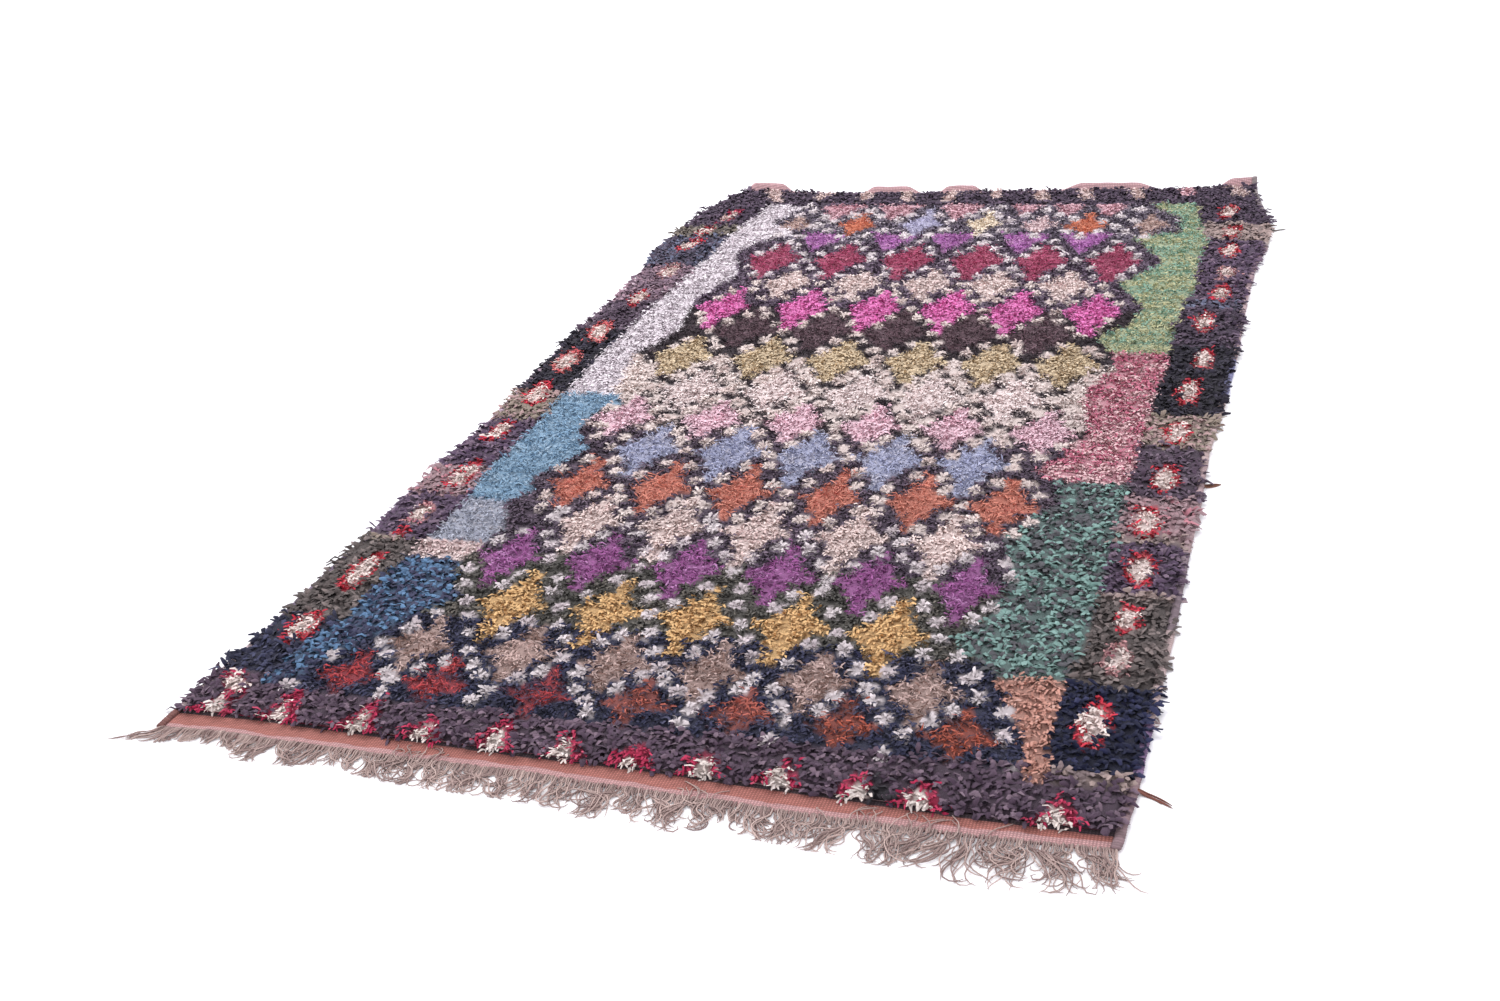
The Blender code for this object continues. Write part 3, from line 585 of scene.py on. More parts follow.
# Thin lines of another rag across a border or panel.
Streak = namedtuple("Streak", "start end along half_width cloth")
STREAKS = (
    Streak(0.60, 0.72, -1.246, 0.010, "rose_stone"),
    Streak(0.60, 0.74, -0.785, 0.010, "rose_stone"),
    Streak(0.60, 0.74, -0.605, 0.012, "rose_stone"),
    Streak(-0.72, -0.60, -0.765, 0.010, "drab"),
)

# The meshes that the knots go into: one for each border and panel, and three for the field, which is
# split at these places along the rug.
PILE_PIECES = (
    "pile_border_near",
    "pile_border_far",
    "pile_border_left",
    "pile_border_right",
    "pile_panel_left",
    "pile_panel_right",
    "pile_field_near",
    "pile_field_middle",
    "pile_field_far",
)
FIRST_FIELD_PIECE = PILE_PIECES.index("pile_field_near")
FIELD_SPLITS = (-0.44, 0.35)

# The pile's usual length and width, which give the numbers of its rows and columns, and where it starts.
PILE_LENGTH = 2.65
PILE_WIDTH = 1.42
PILE_START = -1.33
# The knots are spread evenly inside the outline, less these margins at the sides and at the two ends.
SIDE_MARGIN = 0.009
NEAR_MARGIN = 0.005
FAR_MARGIN = 0.004
# A place's x depends on its y through the outline, and its y on its x, and this many rounds settle both.
OUTLINE_ROUNDS = 3

# How the rags vary: their length and width against their style's, and their rise and droop in radians.
LENGTH_SPREAD = (0.75, 1.2)
WIDTH_SPREAD = (0.75, 1.3)
RISE_STRAY = 0.25
DROOP_STRAY = 0.35
# How far a knot strays from its row and column.
KNOT_ACROSS = 0.0015
KNOT_ALONG = 0.0020
# How far a rag starts from its knot, and how its start's height varies, in lumps and alone.
STRAY_ACROSS = 0.0026
STRAY_ALONG = 0.0034
START_LUMPS = 0.0030
START_UNEVENNESS = 0.0022
# The rim of the pile: its width, how far in from a cord's outer edge it lies, how much lower its rags
# start, and how their headings stray from straight out.
RIM_WIDTH = 0.018
RIM_INSET = 0.012
RIM_DROP = 0.005
RIM_STRAY = 0.45
# The share of the rim's rags that hang over it: at an end, at a thin side, and what a bushy side adds.
OVER_END = 0.55
OVER_SIDE = 0.50
OVER_BUSHY = 0.40
# How much longer a rag over a side is, and what a bushy side adds.
SIDE_LENGTH = 0.10
BUSHY_LENGTH = 0.60
# How much more a rag over the rim droops in radians, and how much of that one over a side gives back.
RIM_DROOP = 0.9
SIDE_DROOP = 0.5
# No rag reaches lower than this.
LEAST_HEIGHT = 0.0015
# A rag's width at places along its length, both as shares.
WIDTH_PLACES = (0.0, 0.35, 0.75, 1.0)
WIDTH_SHARES = (0.65, 1.0, 1.0, 0.55)
# A rag's painted shade at places along its length, darker at its root deep in the pile and a touch lighter
# at its tip, and how far a white one would be spared of it.
PAINTED_SHADE_PLACES = (0.0, 0.4, 1.0)
PAINTED_SHADE_VALUES = (0.70, 0.98, 1.06)
PALE_SPARED = 0.7
# A rag has its cloth's second colour when its draw is under a line over the second's share. This much of
# the draw is its own, and the rest its knot's or its streak's. Streaks are drawn out across the rug.
OWN_DRAW = 0.2
DRAW_SCALE = 0.80
DRAW_START = 0.10
STREAK_SQUEEZE = 0.15
# A dot's rags start within these shares of its half width and half length, this much higher.
TUFT_WIDTH = 0.50
TUFT_LENGTH = 0.62
TUFT_LIFT = 0.002

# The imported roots: how far over the rags' start they reach, their height over the cloth at the rim, their
# clearance under it, how many columns one point of the underside spans, and their girth.
ROOT_LIFT = 0.0015
ROOT_RIM = 0.002
ROOT_CLEARANCE = 0.0004
UNDER_SPAN = 5
ROOT_GIRTH = 2.8
# How light the roots are against the rags, as painted shade of the deep pile: black ones, and what white
# ones would add.
ROOT_PAINTED_SHADE = 0.56
ROOT_PAINTED_SHADE_PALE = 0.36


def srgb_to_linear(colour):
    """A colour of 0 to 255 as linear light, by the usual curve of a screen."""
    share = np.asarray(colour, float) / 255.0
    return np.where(share <= 0.04045, share / 12.92, ((share + 0.055) / 1.055) ** 2.4)


def column(rows, name):
    """One named column of a table as an array."""
    return np.array([getattr(row, name) for row in rows])


def table_at(rows, key, value, at):
    """A column of a table at any place, straight between its rows."""
    return np.interp(at, column(rows, key), column(rows, value))


def smooth_step(share):
    """0 to 1 with level ends, 3s² - 2s³."""
    share = np.clip(share, 0.0, 1.0)
    return share * share * (3.0 - 2.0 * share)


def hump_rise(across):
    """How far the far band stands up: each hump is level between two sides that rise by a smooth step."""
    rise = np.zeros_like(across)
    for hump in HUMPS:
        share = 1.0 - np.abs(across - hump.across) / hump.half_width
        rise = np.maximum(rise, hump.rise * smooth_step(share / HUMP_SIDE))
    return rise


def slow_noise(x, y, seed, scale):
    """Smooth values of about -1 to 1: the mean of six sine waves in seeded directions."""
    rng = np.random.default_rng(seed)
    total = np.zeros_like(x)
    for angle, phase, stretch in rng.uniform(0.0, 1.0, (6, 3)):
        wave = 2 * np.pi / (scale * (0.6 + stretch))
        heading = 2 * np.pi * angle
        total = total + np.sin(wave * (x * np.cos(heading) + y * np.sin(heading)) + 2 * np.pi * phase)
    return total / 3.0


# A set of equal grids: points is (items, sections, ring, 3), dye is (items, sections, 3) or
# (items, sections, ring, 3), width and length are each item's size in metres, material is its slot, and
# closed says that the ring joins up and the ends get caps.
Grids = namedtuple("Grids", "points dye width length material closed")
# Some faces of a mesh: their corners' vertices, how many corners each has, and the corners' places on the
# maps OFBake and strip.
Faces = namedtuple("Faces", "vertices totals board strip")
# The share of its cell that a grid leaves free on each side, and a cap's half sizes and distance from the
# grid's end, as shares of the grid.
CELL_MARGIN = 0.08
CAP_HALF_WIDTH = 0.06
CAP_HALF_LENGTH = 0.01
CAP_INSET = 0.02


def cell_places(item, columns, u, v):
    """Places on the board: each item has one square cell, and its grid fills the cell but for a margin."""
    inside = 1.0 - 2.0 * CELL_MARGIN
    across = (item % columns + CELL_MARGIN + inside * u) / columns
    up = (item // columns + CELL_MARGIN + inside * v) / columns
    return np.stack([across, up], axis=-1).reshape(-1, 2)


def strip_places(part, item, u, v):
    """Places on the strip: metres across and along the ribbon."""
    return np.stack([u * part.width[item], v * part.length[item]], axis=-1).reshape(-1, 2)


def square_faces(part, first_vertex, first_item, columns):
    """The squares of a set of grids, one between each two neighbouring sections and places of the ring."""
    count, sections, ring, _ = part.points.shape
    spans = ring if part.closed else ring - 1
    item, section, place = np.meshgrid(
        np.arange(count), np.arange(sections - 1), np.arange(spans), indexing="ij"
    )
    corner_section = section[..., None] + np.array([0, 1, 1, 0])
    corner_place = place[..., None] + np.array([0, 0, 1, 1])
    item4 = np.repeat(item[..., None], 4, axis=-1)
    vertex = (item4 * sections + corner_section) * ring + corner_place % ring
    u, v = corner_place / spans, corner_section / (sections - 1)
    return Faces(
        (first_vertex + vertex).ravel(),
        np.full(item.size, 4),
        cell_places(first_item + item4, columns, u, v),
        strip_places(part, item4, u, v),
    )


def cap_faces(part, at_end, first_vertex, first_item, columns):
    """The faces that close a set of tubes at their start or end, each an oval on the maps."""
    count, sections, ring, _ = part.points.shape
    section = (sections - 1) * at_end
    order = np.arange(ring)[::-1] if at_end else np.arange(ring)
    item, place = np.meshgrid(np.arange(count), order, indexing="ij")
    angle = 2 * np.pi * place / ring
    u = 0.5 + CAP_HALF_WIDTH * np.cos(angle)
    v = CAP_INSET + (1.0 - 2.0 * CAP_INSET) * at_end + CAP_HALF_LENGTH * np.sin(angle)
    return Faces(
        (first_vertex + (item * sections + section) * ring + place).ravel(),
        np.full(count, ring),
        cell_places(first_item + item, columns, u, v),
        strip_places(part, item, u, v),
    )


def mesh_from_grids(name, parts, materials):
    """One mesh object from sets of grids.

    Each grid square is a face. The map OFBake gives each grid a cell of its own on a square board, the
    map strip holds metres across and along the ribbon, and the attribute dye holds linear colours, with
    any painted shade multiplied in.
    """
    columns = math.ceil(math.sqrt(sum(part.points.shape[0] for part in parts)))
    corners, faces, slots, dyes = [], [], [], []
    first_vertex = first_item = 0
    for part in parts:
        count, sections, ring, _ = part.points.shape
        mine = [square_faces(part, first_vertex, first_item, columns)]
        if part.closed:
            mine += [cap_faces(part, at_end, first_vertex, first_item, columns) for at_end in (False, True)]
        faces += mine
        slots.append(np.full(sum(some.totals.size for some in mine), part.material))
        corners.append(part.points.reshape(-1, 3))
        dye = part.dye if part.dye.ndim == 4 else np.repeat(part.dye[:, :, None, :], ring, axis=2)
        dyes.append(dye.reshape(-1, 3))
        first_vertex += count * sections * ring
        first_item += count

    corners, slots = np.concatenate(corners), np.concatenate(slots)
    loops, totals, board, strip = (np.concatenate(arrays) for arrays in zip(*faces))
    mesh = bpy.data.meshes.new(name)
    mesh.vertices.add(len(corners))
    mesh.vertices.foreach_set("co", corners.astype(np.float32).ravel())
    mesh.loops.add(len(loops))
    mesh.loops.foreach_set("vertex_index", loops.astype(np.int32))
    mesh.polygons.add(len(totals))
    starts = np.concatenate([[0], np.cumsum(totals)[:-1]])
    mesh.polygons.foreach_set("loop_start", starts.astype(np.int32))
    mesh.polygons.foreach_set("loop_total", totals.astype(np.int32))
    mesh.polygons.foreach_set("material_index", slots.astype(np.int32))
    mesh.polygons.foreach_set("use_smooth", np.ones(len(totals), bool))
    mesh.update(calc_edges=True)
    for map_name, places in (("OFBake", board), ("strip", strip)):
        layer = mesh.uv_layers.new(name=map_name)
        layer.data.foreach_set("uv", places.astype(np.float32).ravel())
    attribute = mesh.color_attributes.new("dye", "FLOAT_COLOR", "POINT")
    rgba = np.ones((len(corners), 4), np.float32)
    rgba[:, :3] = np.clip(np.concatenate(dyes), 0.0, 1.0)
    attribute.data.foreach_set("color", rgba.ravel())
    for material in materials:
        mesh.materials.append(material)
    mesh.validate()
    piece = bpy.data.objects.new(name, mesh)
    bpy.context.scene.collection.objects.link(piece)
    return piece


def linked(tree, kind, **inputs):
    """A new node of a kind, with its inputs set to a value or joined to another node's output."""
    node = tree.nodes.new(kind)
    for key, value in inputs.items():
        socket = node.inputs[key.replace("_", " ")]
        if isinstance(value, bpy.types.NodeSocket):
            tree.links.new(value, socket)
        else:
            socket.default_value = value
    return node


def fibre_material(name, ply_scale, fleck_scale, sheen, rough, bump_distance):
    """A dyed fibre: its colour is the dye attribute, painted shade included, under fine flecks, with ridges
    along the strip map.
    """
    material = bpy.data.materials.new(name)
    material.use_nodes = True
    tree = material.node_tree
    shader = tree.nodes["Principled BSDF"]
    shader.inputs["Sheen Weight"].default_value = sheen
    shader.inputs["Sheen Roughness"].default_value = 0.6
    shader.inputs["Specular IOR Level"].default_value = 0.12
    dye = linked(tree, "ShaderNodeAttribute")
    dye.attribute_name = "dye"
    strip = linked(tree, "ShaderNodeUVMap")
    strip.uv_map = "strip"
    place = linked(tree, "ShaderNodeTexCoord")
    fleck = linked(tree, "ShaderNodeTexNoise", Vector=place.outputs["Object"], Scale=fleck_scale, Detail=3.0)
    tone = linked(tree, "ShaderNodeMapRange", Value=fleck.outputs["Fac"])
    tone.inputs["From Min"].default_value = 0.25
    tone.inputs["From Max"].default_value = 0.75
    tone.inputs["To Min"].default_value = 0.82
    tone.inputs["To Max"].default_value = 1.16
    colour = linked(tree, "ShaderNodeVectorMath")
    colour.operation = "MULTIPLY"
    tree.links.new(dye.outputs["Color"], colour.inputs[0])
    tree.links.new(tone.outputs["Result"], colour.inputs[1])
    tree.links.new(colour.outputs["Vector"], shader.inputs["Base Color"])
    roughness = linked(tree, "ShaderNodeMapRange", Value=fleck.outputs["Fac"])
    roughness.inputs["To Min"].default_value = rough - 0.1
    roughness.inputs["To Max"].default_value = min(rough + 0.1, 1.0)
    tree.links.new(roughness.outputs["Result"], shader.inputs["Roughness"])
    ridge = linked(tree, "ShaderNodeTexWave", Vector=strip.outputs["UV"], Scale=ply_scale, Distortion=1.5)
    ridge.bands_direction = "DIAGONAL"
    bump = linked(
        tree, "ShaderNodeBump", Height=ridge.outputs["Fac"], Strength=0.6, Distance=bump_distance
    )
    tree.links.new(bump.outputs["Normal"], shader.inputs["Normal"])
    return material


def woven_material(name, warp_scale, weft_scale, bump_distance):
    """A flat weave: warps and wefts are two sets of ridges on Object coordinates, over the dye attribute,
    with painted light on the raised threads and painted shade between them.
    """
    material = fibre_material(
        name, ply_scale=700.0, fleck_scale=900.0, sheen=0.05, rough=0.85, bump_distance=bump_distance
    )
    tree = material.node_tree
    shader = tree.nodes["Principled BSDF"]
    place = linked(tree, "ShaderNodeTexCoord")
    spot = place.outputs["Object"]
    warps = linked(tree, "ShaderNodeTexWave", Vector=spot, Scale=warp_scale, Distortion=0.8)
    warps.bands_direction = "X"
    wefts = linked(tree, "ShaderNodeTexWave", Vector=spot, Scale=weft_scale, Distortion=1.2)
    wefts.bands_direction = "Y"
    weave = linked(tree, "ShaderNodeMath")
    weave.operation = "MULTIPLY"
    tree.links.new(warps.outputs["Fac"], weave.inputs[0])
    tree.links.new(wefts.outputs["Fac"], weave.inputs[1])
    height = weave.outputs["Value"]
    bump = linked(tree, "ShaderNodeBump", Height=height, Strength=0.8, Distance=bump_distance)
    tree.links.new(bump.outputs["Normal"], shader.inputs["Normal"])
    # painted light and shade: the colour follows the weave's height, lighter on raised threads and darker in
    # the hollows
    painted_shading = linked(tree, "ShaderNodeMapRange", Value=weave.outputs["Value"])
    painted_shading.inputs["From Max"].default_value = 0.8
    painted_shading.inputs["To Min"].default_value = 0.70
    painted_shading.inputs["To Max"].default_value = 1.42
    colour = linked(tree, "ShaderNodeVectorMath")
    colour.operation = "MULTIPLY"
    tree.links.new(shader.inputs["Base Color"].links[0].from_socket, colour.inputs[0])
    tree.links.new(painted_shading.outputs["Result"], colour.inputs[1])
    tree.links.new(colour.outputs["Vector"], shader.inputs["Base Color"])
    return material


def band_cloths(bands, side, along):
    """The index of the band that each place along the rug lies in, and the bands' cloth names."""
    mine = [band for band in bands if getattr(band, "side", side) == side]
    index = np.searchsorted([band.end for band in mine], along)
    return np.clip(index, 0, len(mine) - 1), [band.cloth for band in mine]


class KnotChart:
    """The knots of the pile and what each is tied with, painted region by region.

    The tip of a rag shows nearer than its knot, so a knot's colour is looked up a reach nearer.
    """

    def __init__(self, x, y, ragged, reach, seed):
        self.x, self.y = x, y
        rng = np.random.default_rng(seed)
        self.chart_x = x + rng.normal(0.0, ragged, x.size)
        self.chart_y = y - reach + rng.normal(0.0, ragged, x.size)
        self.names = list(CLOTHS)
        self.cloth = np.zeros(x.size, int)
        self.piece = np.zeros(x.size, int)
        self.in_dot = np.zeros(x.size, bool)
        self.dots = []

    def paint(self, where, cloth):
        self.cloth[where] = self.names.index(cloth)

    def paint_bands(self, where, bands, side):
        index, cloths = band_cloths(bands, side, self.chart_y)
        codes = np.array([self.names.index(cloth) for cloth in cloths])
        self.cloth[where] = codes[index[where]]

    def paint_all(self, dot_half_width, dot_half_length, dot_jitter, seed):
        """The whole pattern: regions first, then diamonds, dots, and the motifs of the borders."""
        x, y = self.chart_x, self.chart_y
        left_outer = table_at(LEFT_PANEL, "along", "outer", y)
        left_inner = table_at(LEFT_PANEL, "along", "inner", y)
        right_outer = table_at(RIGHT_PANEL, "along", "outer", y)
        right_inner = table_at(RIGHT_PANEL, "along", "inner", y)
        in_tip = (x > PANEL_TIP.left) & (x < PANEL_TIP.right) & (y > PANEL_TIP.along)
        near = (y < NEAR_BORDER_END) & ~in_tip
        far = y > FAR_BORDER_START
        between = ~near & ~far
        left_border = between & (x < left_outer)
        right_border = between & (x > right_outer)
        left_panel = between & ~left_border & (x < left_inner)
        right_panel = between & ~right_border & (x > right_inner)
        field = between & ~left_border & ~right_border & ~left_panel & ~right_panel

        self.paint(near, "aubergine")
        self.paint(far, "night_plum")
        self.paint_bands(left_border, BORDER_BANDS, -1)
        self.paint_bands(right_border, BORDER_BANDS, 1)
        self.paint_bands(left_panel, PANEL_BANDS, -1)
        self.paint_bands(right_panel, PANEL_BANDS, 1)
        self.paint_bands(field, FIELD_GROUND, 0)
        for code, where in enumerate((near, far, left_border, right_border, left_panel, right_panel)):
            self.piece[where] = code
        self.piece[field] = FIRST_FIELD_PIECE + np.searchsorted(FIELD_SPLITS, self.y[field])

        lined = field & (y > PALE_GROUND[0]) & (y < PALE_GROUND[1])
        lined &= np.random.default_rng(seed + 5).uniform(0.0, 1.0, x.size) < OUTLINE_SHARE
        for row in DIAMOND_ROWS:
            for centre in row.centres:
                self.paint(lined & inside_diamond(row, centre, x, y, OUTLINE_GROWTH), "field_black")
        for row in DIAMOND_ROWS:
            for centre in row.centres:
                self.paint(field & inside_diamond(row, centre, x, y), row.cloth)
        self.paint_dots(field | left_panel | right_panel, dot_half_width, dot_half_length, dot_jitter, seed)
        self.paint_motifs(near, far, left_border | right_border)
        for row in STREAKS:
            inside = (x > row.start) & (x < row.end) & (np.abs(y - row.along) < row.half_width)
            self.paint(inside & ~field, row.cloth)

    def paint_dots(self, where, half_width, half_length, jitter, seed):
        """Dots along the net. Their knots are kept free, because each dot is one tuft of its own."""
        rng = np.random.default_rng(seed)
        for centre_x, centre_y in dot_centres(rng, jitter):
            growth = table_at(DOT_GROWTH, "along", "size", centre_y)
            wide, long = (half_width * growth, half_length * growth) * rng.uniform(0.85, 1.2, 2)
            offset = ((self.chart_x - centre_x) / wide) ** 2 + ((self.chart_y - centre_y) / long) ** 2
            mine = where & (offset < 1.0)
            if mine.any():
                self.dots.append((centre_x, centre_y, wide, long, np.flatnonzero(mine)[0]))
                self.paint(mine, "warm_dot" if WARM_DOTS[0] < centre_y < WARM_DOTS[1] else "dot")
            self.in_dot |= mine

    def paint_motifs(self, near, far, sides):
        """Medallions at the sides, flames at the near end and slanted strokes at the far end."""
        x, y = self.chart_x, self.chart_y
        for row in MEDALLIONS:
            turn = math.radians(row.slant)
            dx, dy = x - row.across, y - row.along
            u = (dx * math.cos(turn) + dy * math.sin(turn)) / (MEDALLION_NARROWING * row.half_width)
            v = (dy * math.cos(turn) - dx * math.sin(turn)) / row.half_length
            offset = u * u + v * v
            self.paint((sides | near) & (offset < 1.0), row.rim)
            self.paint((sides | near) & (offset < MEDALLION_CORE), row.core)
        for row in FLAMES:
            base = table_at(NEAR_END, "across", "pile", row.across)
            for height, half, cloth in (
                (row.red_height, FLAME_HALF_WIDTH, "flame_red"),
                (row.cream_height, FLAME_CREAM_HALF_WIDTH, "flame_cream"),
            ):
                share = (y - base) / height
                self.paint(near & (np.abs(x - row.across) < half * (1.0 - share)), cloth)
        patch = BLACK_PATCH
        inside = (x > patch.left) & (x < patch.right) & (y > patch.near) & (y < patch.far)
        self.paint(near & inside, "black_patch")
        for row in FAR_MOTIFS:
            share = (row.far_along - y) / (row.far_along - row.near_along)
            middle = row.far_across + (row.near_across - row.far_across) * share
            inside = np.abs(x - middle) < FAR_MOTIF_GROWTH * row.half_width
            inside &= (share > -FAR_MOTIF_LEAD) & (share < 1.0)
            self.paint(far & inside, row.cloth)

    def column(self, name):
        """A column of the table of cloths for each knot, colours as linear light."""
        values = [getattr(CLOTHS[cloth], name) for cloth in self.names]
        if name in ("dye", "other"):
            return srgb_to_linear(values)[self.cloth]
        return np.array(values)[self.cloth]


def inside_diamond(row, centre, x, y, growth=1.0):
    """Whether each place is in this diamond: under one of its steps, or in its downward triangle."""
    across = np.abs(x - centre) / (growth * row.half)
    if row.shape == "point":
        return (y < row.high) & (y > row.low) & (across < (y - row.low) / (row.high - row.low))
    reach = growth * np.where(y > row.middle, row.high - row.middle, row.middle - row.low)
    along = np.abs(y - row.middle) / reach
    inside = np.zeros(x.shape, bool)
    for step_across, step_along in STEPS[row.shape]:
        inside |= (across < step_across) & (along < step_along)
    return inside


def crowded_dots():
    """The places of the farthest rows' staggered grid that no diamond covers."""
    start, end = CROWDED
    rows = np.arange(round((end - start) / CROWDED_PITCH_ALONG) + 1)
    column, row = np.meshgrid(np.arange(*CROWDED_COLUMNS), rows)
    across = ((column + 0.5 * (row % 2)) * CROWDED_PITCH_ACROSS).ravel()
    along = (start + row * CROWDED_PITCH_ALONG).ravel()
    free = np.ones(across.size, bool)
    for diamond in DIAMOND_ROWS:
        for centre in diamond.centres:
            free &= ~inside_diamond(diamond, centre, across, along, CROWDED_CLEARANCE)
    return list(zip(across[free].tolist(), along[free].tolist()))


def net_rows():
    """The diamonds' centres row by row, with one more at each end of a row that stops short of the side."""
    levels = sorted({round(row.middle, 1) for row in DIAMOND_ROWS})
    places = [
        sorted(
            (centre, row.middle)
            for row in DIAMOND_ROWS
            if round(row.middle, 1) == level
            for centre in row.centres
        )
        for level in levels
    ]
    for level in places:
        if level[0][0] > -NET_SIDE:
            level.insert(0, (level[0][0] - NET_STEP, level[0][1]))
        if level[-1][0] < NET_SIDE:
            level.append((level[-1][0] + NET_STEP, level[-1][1]))
    return places


def dot_centres(rng, jitter):
    """The dots' centres, on the net that runs between the diamonds.

    The edge between diamonds a and b of neighbouring rows runs from b's place across at a's place along
    to a's place across at b's place along. One more dot stands between each two diamonds of a row.
    """
    places = net_rows()
    found = []
    for lower, upper in zip(places, places[1:]):
        for ax, ay in lower:
            for bx, by in upper:
                if abs(ax - bx) < NET_REACH:
                    found += [(bx + (ax - bx) * share, ay + (by - ay) * share) for share in DOT_PLACES]
    for level in places:
        for (ax, ay), (bx, by) in zip(level, level[1:]):
            if bx - ax < ROW_REACH:
                found.append((0.5 * (ax + bx), 0.5 * (ay + by)))
    found = [place for place in found if place[1] < CROWDED[0]] + crowded_dots()
    found += LONE_DOTS
    strays = rng.normal(0.0, jitter, (len(found), 2))
    return [(x + stray[0], y + stray[1]) for (x, y), stray in zip(found, strays)]


def knot_places(pitch_across, pitch_along):
    """The knots in rows that follow both ends of the rug.

    A knot has a share of the width and of the length. Its x lies at its share between the sides at its y,
    and its y at its share between the ends at its x.
    """
    row_count = int(round(PILE_LENGTH / pitch_along))
    column_count = int(round(PILE_WIDTH / pitch_across))
    row_shares = (np.arange(row_count) + 0.5) / row_count
    column_shares = (np.arange(column_count) + 0.5) / column_count
    v, u = np.meshgrid(row_shares, column_shares, indexing="ij")
    y = PILE_START + PILE_LENGTH * v
    for _ in range(OUTLINE_ROUNDS):
        left = table_at(SIDES, "along", "left", y) + SIDE_MARGIN
        right = table_at(SIDES, "along", "right", y) - SIDE_MARGIN
        x = left + (right - left) * u
        near = table_at(NEAR_END, "across", "pile", x) + NEAR_MARGIN
        far = table_at(FAR_END, "across", "pile", x) - FAR_MARGIN
        y = near + (far - near) * v
    return x, y


def rim_spill(x, y):
    """How near each place is to the pile's rim, 0 to 1, and the heading out over the nearest side."""
    gaps = np.stack(
        [
            y - table_at(NEAR_END, "across", "pile", x),
            table_at(SIDES, "along", "right", y) - RIM_INSET - x,
            table_at(FAR_END, "across", "pile", x) - y,
            x - table_at(SIDES, "along", "left", y) - RIM_INSET,
        ]
    )
    headings = np.array([-0.5, 0.0, 0.5, 1.0]) * np.pi
    spill = np.clip(1.0 - np.min(gaps, axis=0) / RIM_WIDTH, 0.0, 1.0)
    return spill, headings[np.argmin(gaps, axis=0)]


def ribbon_grids(chart, style, x, y, heading, chosen, root, height, seed):
    """Ribbons of one style that start at x, y and go by heading. Chosen gives each one's knot on the chart.

    A ribbon is a chain of equal steps. Its slope falls evenly from rise to droop and its heading turns by
    curl, so it bends over. The width lies across the chain, rolled about it, and narrows to both ends. A
    cup sinks the edges of a wide rag under its middle. At the rim of the pile a ribbon hangs down outside,
    and at the sides it is longer in bushy places.
    """
    rng = np.random.default_rng(seed)
    count = x.size
    spill, outward = rim_spill(x, y)
    sideways = np.abs(np.cos(outward)) > 0.5
    bushy = np.clip(0.35 + slow_noise(x, y, seed=19, scale=0.20), 0.0, 1.0)
    chance = np.where(sideways, OVER_SIDE + OVER_BUSHY * bushy, OVER_END) * spill
    over_rim = rng.uniform(0.0, 1.0, count) < chance
    over_side = over_rim & sideways
    heading = np.where(over_rim, outward + rng.normal(0.0, RIM_STRAY, count), heading)
    longer = 1.0 + over_side * (SIDE_LENGTH + BUSHY_LENGTH * bushy)
    length = style.length * rng.uniform(*LENGTH_SPREAD, count) * height * longer
    width = style.width * rng.uniform(*WIDTH_SPREAD, count)
    rise = np.radians(style.rise) + rng.normal(0.0, RISE_STRAY, count)
    droop = np.radians(style.droop) + rng.normal(0.0, DROOP_STRAY, count)
    droop = droop - RIM_DROOP * over_rim + SIDE_DROOP * over_side

    t = np.linspace(0.0, 1.0, style.sections)
    slope = rise[:, None] + (droop - rise)[:, None] * t
    turned = heading[:, None] + np.radians(style.curl) * rng.normal(0.0, 1.0, count)[:, None] * t**1.5
    along = np.stack([np.cos(slope) * np.cos(turned), np.cos(slope) * np.sin(turned), np.sin(slope)], -1)
    steps = 0.5 * (along[:, 1:] + along[:, :-1]) * (length / (style.sections - 1))[:, None, None]
    line = np.concatenate([np.zeros((count, 1, 3)), np.cumsum(steps, axis=1)], axis=1)
    start = root + START_LUMPS * slow_noise(x, y, seed=7, scale=0.045)
    start = start + START_UNEVENNESS * rng.normal(0.0, 1.0, count)
    start = start - RIM_DROP * spill
    line = line + np.stack([x, y, start], -1)[:, None, :]

    side = np.stack([-np.sin(turned), np.cos(turned), 0.0 * turned], -1)
    top = np.cross(along, side)
    roll = rng.normal(0.0, 0.5, count)[:, None] + rng.normal(0.0, 1.0, count)[:, None] * t
    roll = np.radians(style.roll) * roll
    rolled = side * np.cos(roll)[..., None] + top * np.sin(roll)[..., None]
    face = top * np.cos(roll)[..., None] - side * np.sin(roll)[..., None]
    profile = np.interp(t, WIDTH_PLACES, WIDTH_SHARES)
    place = np.linspace(-0.5, 0.5, style.across)
    offset = width[:, None, None] * profile[None, :, None] * place
    trough = style.cup * width[:, None, None] * profile[None, :, None] * (1.0 - 4.0 * place**2)
    points = line[:, :, None, :] + rolled[:, :, None, :] * offset[..., None]
    points = points + face[:, :, None, :] * trough[..., None]
    points[..., 2] = np.maximum(points[..., 2], LEAST_HEIGHT)
    dye = ribbon_dyes(chart, style, x, y, chosen, rng, seed)
    return Grids(points, dye, width, length, style.material, closed=False)


